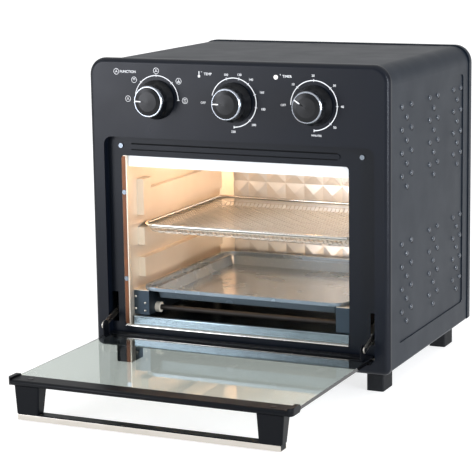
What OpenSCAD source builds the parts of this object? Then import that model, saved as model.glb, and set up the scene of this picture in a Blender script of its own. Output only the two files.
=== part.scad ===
// Counter-top air fryer oven with three knobs and a drop-down glass door, shown with its door open.
// Millimetres, +Z up, +Y towards the back. The feet stand on z = 0.

/* [Case] */
// Width over the front frame
case_w = 370; // [310:1:450]
// Height of the front frame, without the feet
case_h = 345; // [320:1:420]
// Depth from the front face to the rear cover's outer face
case_d = 300; // [250:1:370]
// Corner radius at the top of the case
corner_r = 20; // [10:1:26]
// Height of the feet
foot_h = 24; // [24:1:40]
// Width of a foot
foot_w = 20; // [14:1:30]
// Depth of a foot from front to back
foot_d = 31; // [20:1:40]
// Thickness of the steel sheet
sheet_t = 0.6; // [0.6:0.1:1.2]
// How far the front frame stands proud of the outer shell
shell_step = 4; // [2:0.5:5]
// Length of the rear spacers behind the cover
spacer_l = 10; // [4:1:25]

/* [Front frame] */
// Height of the control panel above the door recess
panel_h = 91; // [84:1:110]
// Depth of the moulded frame
frame_t = 10; // [9:0.5:12]
// Width of the side posts
post_w = 17.5; // [14:0.5:24]
// Height of the bottom rail
rail_h = 10.5; // [8:0.5:14]
// Rounding of the frame's front edge
nose_r = 6; // [2:0.5:7]
// Wall of the moulding behind the control panel
skin_t = 3; // [2:0.5:4]

/* [Controls] */
// Distance between two knobs
knob_pitch = 97; // [78:1:106]
// Height of the knobs' axes below the frame's top edge
knob_drop = 46.3; // [40:0.5:52]
// Diameter of a knob at its skirt
knob_d = 45; // [38:1:50]
// How far a knob stands out of the panel
knob_l = 24; // [18:1:30]
// Diameter of a control shaft
shaft_d = 6; // [5:0.5:8]
// Diameter of the indicator lens
lens_d = 5.2; // [4:0.2:8]

/* [Door] */
// Thickness of the door glass
glass_t = 4; // [3:0.5:5]
// Gap between the closed door and the top of the recess
door_gap = 2; // [1:0.5:4]
// Gap between the door and each side of the recess
side_gap = 2.5; // [1.5:0.5:4]
// Width of the trim along the free edge
trim_h = 22; // [16:1:30]
// Height of the handle brackets
bracket_h = 30.1; // [24:0.1:31]
// Thickness of the handle bar
bar_t = 7; // [5:0.5:7]
// Width of the handle bar
bar_w = 14; // [10:1:18]
// Diameter of a hinge pin
pin_d = 3; // [2.5:0.5:4]
// Height of the hinge arms' pivot above the door hinge, with the door closed
pivot_up = 23.5; // [22:0.5:26]
// Distance of that pivot behind the door hinge
pivot_in = 16; // [13:0.5:18]
// Length of a hinge arm between its holes
arm_l = 58; // [50:1:66]

/* [Cooking cavity] */
// Distance from the frame's left side to the cavity opening
margin_left = 34.4; // [32:0.2:40]
// Distance from the frame's right side to the cavity opening
margin_right = 51.3; // [46:0.1:60]
// Height of the opening's lower edge above the frame's bottom
sill_h = 28.5; // [26:0.5:34]
// Height of the face plate's band above the opening
band_h = 23; // [18:1:30]
// Space between the cavity's rear wall and the rear cover
rear_gap = 30; // [20:1:45]
// How far the rack guides stand out of the walls
guide_w = 8.5; // [6:0.5:10]
// Height of the upper rack channel above the opening's lower edge
basket_level = 113.5; // [105:0.5:120]
// Height of the middle rack channel above the opening's lower edge
middle_level = 77.5; // [70:0.5:84]
// Height of the tray ledges above the opening's lower edge
tray_level = 41; // [36:0.5:48]
// Height of a rack channel
channel_h = 15; // [10:0.5:18]
// Diameter of the heating rods
rod_d = 6.5; // [5:0.5:8]

/* [Racks] */
// Depth of the mesh basket from front to back
basket_d = 220; // [160:1:224]
// Diameter of the basket's rim wire
wire_d = 4; // [3:0.5:5]
// Depth of the baking tray from front to back
tray_d = 240; // [160:1:244]
// Height of the baking tray
tray_h = 15; // [10:1:20]
// Corner radius of the baking tray
tray_r = 20; // [8:1:30]

/* [Fans] */
// Diameter of the convection fan
fan_d = 112; // [80:1:130]
// Diameter of the motor
motor_d = 62; // [44:1:72]
// Height of the motor
motor_h = 34; // [24:1:38]
// Diameter of the motor shaft
motor_shaft_d = 5; // [4:0.5:6]

/* [Fits] */
// Radial clearance of a pin or shaft that turns
run_fit = 0.08; // [0.04:0.01:0.1]
// Clearance between pieces that slide past each other
slide_fit = 0.3; // [0.3:0.1:0.6]
// Clearance between a screw and the sheet it passes through
screw_fit = 0.2; // [0.1:0.05:0.4]

/* [Hidden] */
$fn = 48;

// Case
case_hw = case_w / 2;
top_z = foot_h + case_h;
shell_hw = case_hw - shell_step;
shell_top = top_z - shell_step + 1;
shell_r = corner_r + 1;
shell_y = frame_t - 1.7;
bottom_r = 8;
lip_hw = shell_hw - sheet_t - 0.3;
cover_t = 0.8;
rear_y = case_d - cover_t;
press_depth = 1.2;
base_z = foot_h + 0.6;
foot_x = shell_hw - 11 - foot_w / 2;
foot_y = [21 + foot_d / 2, case_d - 31 - foot_d / 2];
gland_x = shell_hw - 50;
gland_z = base_z + 26;

// Front frame
recess_hw = case_hw - post_w;
recess_top = top_z - panel_h;
recess_bottom = foot_h + rail_h;
plate_y = frame_t;
liner_y = plate_y + sheet_t;
plate_hw = lip_hw - 1;
recess_r = 10;
screw_d = 3;
plate_screw_x = [-recess_hw + 17.5, recess_hw - 17.5];
plate_screw_z = recess_top - 11.5;

// Controls
knob_z = top_z - knob_drop;
knob_x = [-knob_pitch, 0, knob_pitch];
boss_x = knob_pitch + 40;
bracket_y = skin_t + 9;
lens_x = knob_pitch - 45;
lens_z = knob_z + 30;
knob_flare = 4.7;
knob_face_r = knob_d / 2 - knob_flare;
knob_ring_w = 1.6;
knob_ring_l = 5.4;

// Door, in its own frame: z along the closed door, y towards the cavity, origin on the hinge axis
hinge_y = 3.5;
hinge_z = recess_bottom + 7;
door_hw = recess_hw - side_gap;
door_top = recess_top - door_gap - hinge_z;
door_bottom = -4.5;
glass_y = -1.5;
glass_back = glass_y + glass_t;
skin = 1.2;
rail_top = 12;
cap_w = 4;
cap_proud = 0.9;
bracket_x = door_hw - 8;
bracket_top_w = 30.5;
bracket_end_w = 26;
bracket_d = 18;
screw_head_r = 3.2;
screw_l = 16;
sleeve_t = 0.6;
bar_y = glass_y - skin - bracket_h;
bar_front = door_top - 1.5;
bar_hw = bracket_x - 3.5;
ear_t = 1.5;
arm_t = 1.6;
arm_w = 8;
arm_x = recess_hw - 4.1;
ear_x = arm_x - 2.7;
arm_open_angle = 17;
arm_open_y = hinge_y - pivot_up;
arm_open_z = hinge_z + pivot_in;
arm_end_y = arm_open_y + arm_l * cos(arm_open_angle);
arm_end_z = arm_open_z + arm_l * sin(arm_open_angle);
slot_w = 8.6;
slot_z0 = hinge_z + 14.4;
slot_z1 = slot_z0 + 36;
spring_r = 4;
spring_wire = 0.6;
anchor_z = arm_end_z + 95;

// Cavity
open_x0 = -case_hw + margin_left;
open_x1 = case_hw - margin_right;
open_z0 = foot_h + sill_h;
open_z1 = recess_top - band_h;
open_r = 4;
flange_screw_x = open_x0 + 3.3;
flange_screw_z = [open_z0 + 56, open_z0 + 159];
wall_x0 = open_x0 + 7.1;
wall_x1 = open_x1 + 3.8;
cavity_cx = (wall_x0 + wall_x1) / 2;
cavity_hw = (wall_x1 - wall_x0) / 2;
rack_cx = (wall_x0 + open_x1) / 2;
rack_hw = (open_x1 - wall_x0) / 2;
extra_right = wall_x1 - open_x1;
cavity_y1 = case_d - rear_gap;
cavity_cy = (liner_y + cavity_y1) / 2;
floor_z = open_z0 + 0.3;
ceiling_z = open_z1 + 25;
baffle_z = open_z1 + 2;
flange_drop = 15;
guide_y0 = 34;
guide_y1 = cavity_y1 - 22;
basket_z = open_z0 + basket_level;
middle_z = open_z0 + middle_level;
tray_z = open_z0 + tray_level;
ledge_w = 19.5;
ledge_y0 = 20;
ledge_z0 = open_z0 + 11.5;
holder_l = 6;
holder_wall = 3;
rod_seat = 1;
lower_rod_z = open_z0 + 17.5;
upper_rod_z = open_z1 - 7;
lower_rod_y = [40, cavity_y1 - 70];
upper_rod_y = [50, cavity_y1 - 45];

// Racks
basket_y0 = 35;
basket_r = 18;
basket_hw = rack_hw - 1.5;
mesh_t = 0.7;
mesh_drop = 8;
tray_y0 = 18;
tray_hw = rack_hw - guide_w - 0.1;
rim_w = 5;
crumb_hw = rack_hw - 0.6 * open_r;
crumb_y0 = 14;

// Fans and motor, on one vertical axis over the cavity
fan_z = baffle_z + 4;
motor_z = ceiling_z + 18;
shaft_end = motor_z + motor_h + 16;

// The origin is under the middle of the part as it stands with its door open
front_reach = door_top - hinge_y;
back_reach = case_d + spacer_l;
front_y = (front_reach - back_reach) / 2;

module from_front() {
    translate([0, front_y, 0]) children();
}

module both_sides() {
    children();
    mirror([1, 0, 0]) children();
}

// The door's own frame, turned down to the open position
module on_door() {
    from_front() translate([0, hinge_y, hinge_z]) rotate([90, 0, 0]) children();
}

// Cylinder along X, centred on its axis point
module rod_x(r, l) {
    rotate([0, 90, 0]) cylinder(r = r, h = l, center = true);
}

// Cylinder along +Y from y = 0
module rod_y(r, l) {
    rotate([-90, 0, 0]) cylinder(r = r, h = l);
}

// Extrudes a drawing of the X-Z plane along +Y
module along_y(l) {
    translate([0, l, 0]) rotate([90, 0, 0]) linear_extrude(l) children();
}

// Rectangle with round corners, from its lower left corner
module round_rect(w, h, r) {
    union() {
        translate([r, 0]) square([w - 2 * r, h]);
        translate([0, r]) square([w, h - 2 * r]);
        for (x = [r, w - r], y = [r, h - r]) translate([x, y]) circle(r);
    }
}

// Outline of the case seen from the front, with its large top corners
module case_outline(hw, z0, z1, r_top, r_bottom) {
    union() {
        translate([-hw, z0 + r_bottom]) square([2 * hw, z1 - z0 - r_top - r_bottom]);
        translate([-hw + r_top, z1 - r_top]) square([2 * (hw - r_top), r_top]);
        translate([-hw + r_bottom, z0]) square([2 * (hw - r_bottom), r_bottom]);
        for (s = [-1, 1]) {
            translate([s * (hw - r_top), z1 - r_top]) circle(r_top);
            translate([s * (hw - r_bottom), z0 + r_bottom]) circle(r_bottom);
        }
    }
}

// Corner of the frame's rounded nose: a disc with a quarter-round front edge
module nose_corner(r, depth) {
    edge = min(nose_r, r - 1);
    rotate([-90, 0, 0]) rotate_extrude($fn = 40) {
        square([r - edge, edge + 0.01]);
        translate([0, edge]) square([r, depth - edge]);
        translate([r - edge, edge]) intersection() {
            circle(edge, $fn = 32);
            translate([0, -edge]) square(edge);
        }
    }
}

// ---------- Case ----------

module frame_body() {
    hull() for (s = [-1, 1]) {
        translate([s * (case_hw - corner_r), 0, top_z - corner_r]) nose_corner(corner_r, frame_t - 2);
        translate([s * (case_hw - bottom_r), 0, foot_h + bottom_r]) nose_corner(bottom_r, frame_t - 2);
    }
    translate([0, frame_t - 2.01, 0]) along_y(2.01)
        case_outline(lip_hw, foot_h + 1.2, shell_top - sheet_t - 0.3, shell_r - sheet_t, bottom_r);
}

module front_frame() {
    hollow_h = shell_top - recess_top - 2 * skin_t - 1;
    color("#26272a") from_front() {
        difference() {
            frame_body();
            translate([-recess_hw, -1, recess_bottom]) along_y(frame_t + 2)
                round_rect(2 * recess_hw, recess_top - recess_bottom, recess_r);
            translate([-lip_hw + skin_t, skin_t, recess_top + skin_t]) along_y(frame_t)
                round_rect(2 * (lip_hw - skin_t), hollow_h, corner_r - skin_t);
            for (x = knob_x) translate([x, -1, knob_z]) rod_y(shaft_d / 2 + 1, skin_t + 2);
            translate([lens_x, -1, lens_z]) rod_y(lens_d / 2, skin_t + 2);
            for (s = [-1, 1]) translate([s * (recess_hw + 4), hinge_y, hinge_z]) rod_x(pin_d / 2, 10);
        }
        for (x = [-boss_x, boss_x]) translate([x, skin_t - 0.01, knob_z]) rod_y(4, bracket_y - skin_t);
    }
}

// Side wall detail: a shallow pressed panel
module press_outline(inset) {
    translate([42 + inset, foot_h + 27 + inset])
        round_rect(case_d - 70 - 2 * inset, case_h - 61 - 2 * inset, 6);
}

module outer_shell() {
    depth = rear_y - 0.2 - shell_y;
    color("#2f3134") from_front() difference() {
        union() {
            translate([0, shell_y, 0]) along_y(depth) difference() {
                case_outline(shell_hw, base_z - 0.2, shell_top, shell_r, 3);
                case_outline(shell_hw - sheet_t, base_z - 9, shell_top - sheet_t, shell_r - sheet_t, 3);
            }
            both_sides() translate([shell_hw - press_depth - sheet_t, 0, 0])
                rotate([90, 0, 90]) linear_extrude(press_depth + sheet_t) press_outline(0);
        }
        both_sides() translate([shell_hw - press_depth, 0, 0])
            rotate([90, 0, 90]) linear_extrude(press_depth + 1) press_outline(sheet_t);
    }
}

module vent_rows(x0, z0, columns, rows, w) {
    for (c = [0:columns - 1], r = [0:rows - 1])
        translate([x0 + c * (w + 8), rear_y - 2, z0 + r * 8]) cube([w, 6, 3]);
}

module rear_cover() {
    color("#222326") from_front() difference() {
        union() {
            translate([0, rear_y, 0]) along_y(cover_t)
                case_outline(shell_hw + 1.2, base_z - 0.6, shell_top + 1.2, shell_r, 4);
            translate([0, rear_y - 8, 0]) along_y(8.01) difference() {
                case_outline(shell_hw + 1.2, base_z - 0.6, shell_top + 1.2, shell_r, 4);
                case_outline(shell_hw + 0.2, base_z - 1.6, shell_top + 0.2, shell_r, 4);
            }
        }
        vent_rows(-94, knob_z - 24, 4, 7, 41);
        vent_rows(-94, base_z + 60, 4, 5, 41);
        translate([gland_x, rear_y - 1, gland_z]) rod_y(6, 4);
    }
}

module base_plate() {
    color("#3a3c3f") from_front() difference() {
        translate([-lip_hw + 0.6, frame_t + 0.2, base_z])
            cube([2 * (lip_hw - 0.6), rear_y - frame_t - 0.6, cover_t]);
        for (c = [-3:3], r = [0:6])
            translate([c * 34 - 11, case_d / 2 - 78 + r * 24, base_z - 1]) cube([22, 5, 3]);
        at_feet() translate([0, 0, base_z - 1]) cylinder(r = 2 + screw_fit, h = 3);
    }
}

// Places its children over each foot's middle
module at_feet() {
    for (x = [-foot_x, foot_x], y = foot_y) translate([x, y, 0]) children();
}

module foot(x, y) {
    color("#1c1c1e") from_front() translate([x, y, 0]) difference() {
        translate([-foot_w / 2, -foot_d / 2, 0]) linear_extrude(base_z) round_rect(foot_w, foot_d, 2);
        translate([0, 0, -1]) cylinder(r = 4.4, h = 9);
        translate([0, 0, -1]) cylinder(r = 2, h = foot_h + 3);
    }
}

module foot_front_left() { foot(-foot_x, foot_y[0]); }
module foot_front_right() { foot(foot_x, foot_y[0]); }
module foot_rear_left() { foot(-foot_x, foot_y[1]); }
module foot_rear_right() { foot(foot_x, foot_y[1]); }

module foot_screws() {
    color("#9a9a9a") from_front() at_feet() {
        translate([0, 0, 5]) cylinder(r = 3.8, h = 3);
        translate([0, 0, 7.9]) cylinder(r = 2, h = base_z - 7.9 + 4);
    }
}

module rear_spacers() {
    color("#1c1c1e") from_front() for (x = [-shell_hw + 30, shell_hw - 30])
        translate([x, case_d, shell_top - 40]) rod_y(8, spacer_l);
}

module cord_gland() {
    color("#1c1c1e") from_front() translate([gland_x, rear_y - 2, gland_z]) difference() {
        union() {
            rod_y(5.9, 5);
            translate([0, 3, 0]) rod_y(8.5, 4);
            rod_y(7.5, 2);
        }
        translate([0, -1, 0]) rod_y(3.6, 12);
    }
}

// ---------- Face plate and cavity ----------

module screw_hole(x, y, z) {
    translate([x, y - 1, z]) rod_y(screw_d / 2 + screw_fit, 4);
}

// Plate round the oven's mouth; the long bridge over it has a vent slot above and below
module face_plate() {
    rib_l = open_x1 - open_x0 - 21;
    rib_h = 5.5;
    rib_z = recess_top - 15;
    vent_h = 1.4;
    slot_h = slot_z1 - slot_z0;
    color("#2b2d30") from_front() difference() {
        union() {
            translate([-plate_hw, plate_y, foot_h + 3]) along_y(sheet_t)
                round_rect(2 * plate_hw, recess_top + 4 - foot_h - 3, 4);
            translate([open_x0 + 11, plate_y - 1.2, rib_z]) along_y(1.3)
                round_rect(rib_l, rib_h, rib_h / 2 - 0.05);
            for (x = [-recess_hw + 2.7, recess_hw - 3.7])
                translate([x, plate_y - 0.6, slot_z1 + 6]) cube([1, 0.7, recess_top - slot_z1 - 22]);
        }
        translate([open_x0, plate_y - 2, open_z0]) along_y(4)
            round_rect(open_x1 - open_x0, open_z1 - open_z0, open_r);
        both_sides() translate([arm_x - slot_w / 2, plate_y - 1, slot_z0]) cube([slot_w, 4, slot_h]);
        for (x = plate_screw_x) screw_hole(x, plate_y, plate_screw_z);
        for (z = [rib_z - vent_h, rib_z + rib_h])
            translate([open_x0 + 14, plate_y - 2, z]) cube([rib_l - 6, 4, vent_h]);
    }
}

module pan_screw() {
    translate([0, -1.4, 0]) rod_y(2.8, 1.4);
    translate([0, -0.01, 0]) rod_y(screw_d / 2, 5);
}

module face_plate_screws() {
    color("#d9d9d6") from_front() {
        for (x = plate_screw_x) translate([x, plate_y, plate_screw_z]) pan_screw();
        for (z = flange_screw_z) translate([flange_screw_x, liner_y, z]) pan_screw();
    }
}

// Side wall of the cavity with its pressed rack guides; its inner face is the plane x = 0 and
// the cavity lies on the +x side
module guide(y0, y1, z0, z1, w) {
    difference() {
        translate([-0.01, y0, z0]) cube([w, y1 - y0, z1 - z0]);
        translate([-1, y0 + sheet_t, z0 + sheet_t])
            cube([w + 1 - sheet_t, y1 - y0 - 2 * sheet_t, z1 - z0 - 2 * sheet_t]);
    }
}

module top_guide(z0, w) {
    z1 = z0 + 43;
    notch = 13;
    difference() {
        guide(guide_y0, guide_y1, z0, z1, w);
        translate([-1, guide_y0 + 20, z1 - notch]) cube([w + 2, guide_y1 - guide_y0, notch + 1]);
    }
    translate([0, guide_y0 + 19, z1 - notch - sheet_t]) cube([w, guide_y1 - guide_y0 - 19, sheet_t]);
    translate([0, guide_y0 + 19.2, z1 - notch - sheet_t]) cube([w, sheet_t, notch + sheet_t]);
}

module cavity_side(extra) {
    difference() {
        union() {
            translate([-sheet_t, liner_y, floor_z])
                cube([sheet_t, cavity_y1 - liner_y, ceiling_z - floor_z]);
            translate([-8, liner_y, floor_z]) cube([8, sheet_t, ceiling_z - floor_z]);
        }
        translate([-1, guide_y0 + sheet_t, basket_z + channel_h + sheet_t])
            cube([2, guide_y1 - guide_y0 - 2 * sheet_t, 43 - 13 - 2 * sheet_t]);
        translate([-1, guide_y0 + sheet_t, basket_z - 21 + sheet_t])
            cube([2, guide_y1 - guide_y0 - 2 * sheet_t, 21 - 2 * sheet_t]);
        translate([-1, guide_y0 + sheet_t, middle_z - 23 + sheet_t])
            cube([2, guide_y1 - guide_y0 - 2 * sheet_t, 23 - 2 * sheet_t]);
        translate([-1, ledge_y0 + sheet_t, ledge_z0 + sheet_t])
            cube([2, guide_y1 - ledge_y0 - 2 * sheet_t, tray_z - ledge_z0 - 2 * sheet_t]);
    }
    top_guide(basket_z + channel_h, guide_w + extra);
    guide(guide_y0, guide_y1, basket_z - 21, basket_z, guide_w + extra);
    guide(guide_y0, guide_y1, middle_z - 23, middle_z, guide_w + extra);
    guide(ledge_y0, guide_y1, ledge_z0, tray_z, ledge_w + extra);
}

// Tab that holds the upper end of a hinge spring
module spring_tab(reach) {
    difference() {
        translate([-reach - 4, arm_end_y - 5, anchor_z]) cube([reach + 4 - sheet_t / 2, 10, 1.5]);
        translate([-reach, arm_end_y, anchor_z - 1]) cylinder(r = 1.6, h = 4);
    }
}

module cavity_wall_left() {
    color("#cfc9bd") from_front() difference() {
        union() {
            translate([wall_x0, 0, 0]) cavity_side(0);
            translate([wall_x0, 0, 0]) spring_tab(wall_x0 + arm_x);
        }
        for (z = flange_screw_z) screw_hole(flange_screw_x, liner_y, z);
        screw_hole(plate_screw_x[0], liner_y, plate_screw_z);
    }
}

module cavity_wall_right() {
    color("#cfc9bd") from_front() translate([wall_x1, 0, 0]) mirror([1, 0, 0]) {
        cavity_side(extra_right);
        spring_tab(arm_x - wall_x1);
    }
}

module cavity_rear_wall() {
    color("#d6d3cb") from_front()
        translate([wall_x0, cavity_y1, floor_z]) cube([2 * cavity_hw, sheet_t, ceiling_z - floor_z]);
}

module cavity_ceiling() {
    color("#c8c6c0") from_front() difference() {
        translate([wall_x0 - sheet_t, liner_y, ceiling_z])
            cube([2 * (cavity_hw + sheet_t), cavity_y1 + sheet_t - liner_y, sheet_t]);
        translate([cavity_cx, cavity_cy, ceiling_z - 1]) cylinder(r = motor_shaft_d / 2 + 3, h = 3);
    }
}

module cavity_floor() {
    color("#b9b7b0") from_front() translate([wall_x0 - sheet_t, liner_y, floor_z - sheet_t])
        cube([2 * (cavity_hw + sheet_t), cavity_y1 + sheet_t - liner_y, sheet_t]);
}

module fan_baffle() {
    y0 = liner_y + 3.2;
    w = 2 * cavity_hw - 0.4;
    color("#f2f2f0") from_front() {
        difference() {
            translate([wall_x0 + 0.2, y0, baffle_z]) cube([w, cavity_y1 - y0 - 0.2, sheet_t]);
            for (ring = [1:5], i = [0:ring * 6 - 1])
                translate([cavity_cx, cavity_cy, baffle_z - 1]) rotate([0, 0, i * 60 / ring])
                    translate([ring * 9, 0, 0]) cylinder(r = 3, h = 3);
            for (s = [-1, 1], i = [-4:4])
                translate([cavity_cx + s * (cavity_hw - 14) - 4, cavity_cy + i * 22 - 7, baffle_z - 1])
                    cube([8, 14, 3]);
        }
        translate([wall_x0 + 0.2, y0, baffle_z - flange_drop]) cube([w, sheet_t, flange_drop + 0.01]);
    }
}

// ---------- Heating ----------

// A pair of rods between two walls, each rod's ends seated in its ceramic collars
module heaters(cx, half_span, y_list, z) {
    l = 2 * (half_span - holder_l + rod_seat);
    color("#4a4a4c") from_front() for (y = y_list) translate([cx, y, z]) rod_x(rod_d / 2, l);
}

module lower_heaters() { heaters(rack_cx, rack_hw - ledge_w, lower_rod_y, lower_rod_z); }
module upper_heaters() { heaters(cavity_cx, cavity_hw, upper_rod_y, upper_rod_z); }

// Ceramic collar with a blind seat for the rod's end
module holder(x, y, z, side) {
    difference() {
        translate([x + side * holder_l / 2, y, z]) rod_x(rod_d / 2 + holder_wall, holder_l);
        translate([x + side * holder_l, y, z]) rod_x(rod_d / 2, 2 * rod_seat);
    }
}

module heater_holders() {
    color("#e8e4da") from_front() for (i = [0, 1]) {
        holder(wall_x0 + ledge_w, lower_rod_y[i], lower_rod_z, 1);
        holder(open_x1 - ledge_w, lower_rod_y[i], lower_rod_z, -1);
        holder(wall_x0, upper_rod_y[i], upper_rod_z, 1);
        holder(wall_x1, upper_rod_y[i], upper_rod_z, -1);
    }
}

// ---------- Fans ----------

module on_fan_axis(z) {
    from_front() translate([cavity_cx, cavity_cy, z]) children();
}

module motor_shaft() {
    color("#b0b0b0") on_fan_axis(fan_z) cylinder(r = motor_shaft_d / 2, h = shaft_end - fan_z);
}

module convection_fan() {
    blade_h = 11;
    color("#a8a8a6") on_fan_axis(fan_z + 0.5) difference() {
        union() {
            cylinder(r = 11, h = blade_h);
            cylinder(r = fan_d / 2, h = 1);
            for (a = [0:45:315]) rotate([0, 0, a]) translate([9, -0.6, 0.5])
                cube([fan_d / 2 - 11, 1.2, blade_h - 0.5]);
        }
        translate([0, 0, -1]) cylinder(r = motor_shaft_d / 2, h = blade_h + 2);
    }
}

module cooling_fan() {
    color("#6d6f72") on_fan_axis(motor_z + motor_h + 4) difference() {
        union() {
            cylinder(r = 9, h = 10);
            for (a = [0:60:300]) rotate([0, 0, a]) translate([7, 0, 5]) rotate([30, 0, 0])
                translate([0, -5, -0.6]) cube([fan_d / 2 - 20, 10, 1.2]);
        }
        translate([0, 0, -1]) cylinder(r = motor_shaft_d / 2, h = 12);
    }
}

module fan_motor() {
    color("#8f9195") on_fan_axis(motor_z) difference() {
        union() {
            cylinder(r = motor_d / 2, h = motor_h);
            translate([0, 0, -3]) cylinder(r = 9, h = 4);
            translate([-motor_d / 2 - 6, -8, 0]) cube([motor_d + 12, 16, 2]);
        }
        translate([0, 0, -4]) cylinder(r = motor_shaft_d / 2 + run_fit, h = motor_h + 5);
    }
}

module motor_bracket() {
    h = motor_z - ceiling_z - sheet_t;
    w = motor_d + 30;
    color("#a3a5a7") on_fan_axis(ceiling_z + sheet_t) difference() {
        translate([-w / 2, -14, 0]) cube([w, 28, h]);
        translate([-w / 2 + 1.5, -15, -1]) cube([w - 3, 30, h - 0.5]);
        translate([0, 0, h - 3]) cylinder(r = 9.5, h = 5);
    }
}

// ---------- Controls ----------

module control_bracket() {
    color("#a3a5a7") from_front() difference() {
        translate([-boss_x - 6, bracket_y, knob_z - 20]) cube([2 * (boss_x + 6), 1, 40]);
        for (x = knob_x) translate([x, bracket_y - 1, knob_z]) rod_y(shaft_d / 2 + 1.5, 3);
    }
}

module control_body(x, w, h, d, tint) {
    color(tint) from_front() translate([x, bracket_y + 1, knob_z]) difference() {
        translate([-w / 2, 0, -h / 2]) cube([w, d, h]);
        translate([0, -1, 0]) rod_y(shaft_d / 2 + run_fit, 9);
    }
}

module function_switch() { control_body(knob_x[0], 32, 30, 34, "#d8d0bf"); }
module thermostat() { control_body(knob_x[1], 38, 34, 26, "#b5b7b9"); }
module timer_mechanism() { control_body(knob_x[2], 48, 42, 32, "#c9c9c4"); }

module timer_bell() {
    color("#c2c4c6") from_front() translate([knob_x[2], bracket_y + 33, knob_z]) difference() {
        rod_y(18, 9);
        translate([0, -1, 0]) rod_y(17, 9);
    }
}

module control_shaft(x) {
    color("#c8c8c8") from_front() translate([x, 8 - knob_l, knob_z])
        rod_y(shaft_d / 2, bracket_y + knob_l);
}

module function_shaft() { control_shaft(knob_x[0]); }
module temperature_shaft() { control_shaft(knob_x[1]); }
module timer_shaft() { control_shaft(knob_x[2]); }

// Knob: a flared grip behind a shallow domed face, with a groove for the pointer line
module knob(x, angle) {
    stand_off = 0.8;
    body_l = knob_l - stand_off - 2;
    ring_back = stand_off + body_l + 0.2 - knob_ring_l;
    r = knob_d / 2;
    color("#141416") from_front() translate([x, 0, knob_z]) rotate([0, angle, 0]) difference() {
        rotate([90, 0, 0]) rotate_extrude() polygon([[0, stand_off], [r, stand_off],
            [r, stand_off + 1.6], [knob_face_r + 0.9, stand_off + 9], [knob_face_r, ring_back],
            [knob_face_r - knob_ring_w, ring_back],
            [knob_face_r - knob_ring_w, stand_off + body_l + 0.4],
            [r / 2, stand_off + body_l + 1.6], [0, knob_l]]);
        translate([0, 8 - knob_l, 0]) rod_y(shaft_d / 2, knob_l);
        translate([-knob_face_r + 1.8, -knob_l - 1, -0.7]) cube([knob_face_r - 5.8, 2.4, 1.4]);
    }
}

// Bright band round the face's edge, its front corner turned over in a chamfer
module knob_ring(x) {
    inner = knob_face_r - knob_ring_w;
    color("#d0d2d4") from_front() translate([x, knob_ring_l + 1.8 - knob_l, knob_z])
        rotate([90, 0, 0]) rotate_extrude() polygon([[inner, 0], [knob_face_r, 0],
            [knob_face_r, knob_ring_l - 0.8], [knob_face_r - 0.8, knob_ring_l], [inner, knob_ring_l]]);
}

module function_knob() { knob(knob_x[0], 0); }
module temperature_knob() { knob(knob_x[1], 0); }
module timer_knob() { knob(knob_x[2], 30); }
module function_knob_ring() { knob_ring(knob_x[0]); }
module temperature_knob_ring() { knob_ring(knob_x[1]); }
module timer_knob_ring() { knob_ring(knob_x[2]); }

module indicator_lens() {
    color("#f4e9e2") from_front() translate([lens_x, 0, lens_z]) {
        translate([0, -0.8, 0]) rod_y(lens_d / 2, skin_t + 2.8);
        translate([0, skin_t, 0]) rod_y(lens_d / 2 + 1.2, 2);
    }
}

// ---------- Door ----------

module door_glass() {
    color("#9fb0ae", 0.4) on_door() difference() {
        translate([-door_hw + 0.4, glass_y, 3]) cube([2 * door_hw - 0.8, glass_t, door_top - 7]);
        at_handle_screws() translate([0, glass_y - 1, 0]) rod_y(2.5, glass_t + 2);
    }
}

module door_top_trim() {
    z0 = door_top - trim_h;
    thick = glass_t + 2 * skin;
    color("#242528") on_door() difference() {
        union() {
            translate([-door_hw + cap_w, glass_y - skin, z0])
                cube([2 * (door_hw - cap_w), thick, trim_h - thick / 2]);
            translate([0, glass_y + glass_t / 2, door_top - thick / 2])
                rod_x(thick / 2, 2 * (door_hw - cap_w));
        }
        translate([-door_hw, glass_y, z0 - 1]) cube([2 * door_hw, glass_t, trim_h - 3]);
        at_handle_screws() {
            translate([0, glass_y - skin - 1, 0]) rod_y(screw_d / 2 + screw_fit, glass_t);
            translate([0, glass_back - 1, 0]) rod_y(screw_head_r + screw_fit, skin + 2);
        }
    }
}

// Places its children on each handle screw's axis, in the door's own frame
module at_handle_screws() {
    for (s = [-1, 1]) translate([s * (bracket_x - bracket_top_w / 2), 0, door_top - trim_h / 2]) children();
}

// Screws through the trim and the glass into the brackets, their heads sunk in the trim
module handle_screws() {
    color("#2a2b2d") on_door() at_handle_screws() {
        translate([0, glass_back, 0]) rod_y(screw_head_r, skin + 0.3);
        translate([0, glass_back + 0.01 - screw_l, 0]) rod_y(screw_d / 2, screw_l);
    }
}

module door_trim_caps() {
    thick = glass_t + 2 * skin;
    reach = door_hw + cap_proud;
    color("#1d1e20") on_door() both_sides() difference() {
        intersection() {
            translate([door_hw - cap_w + 0.01, glass_y - skin, door_top - trim_h - 2])
                rotate([90, 0, 90]) linear_extrude(cap_w + cap_proud) round_rect(thick + 2, trim_h + 2, 3);
            translate([-reach, glass_y - skin - 1, 0]) along_y(thick + 4)
                round_rect(2 * reach, door_top, recess_r - door_gap);
        }
        translate([0, glass_y, door_top - trim_h - 3]) cube([door_hw - 0.4, glass_t, trim_h - 1]);
    }
}

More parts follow.
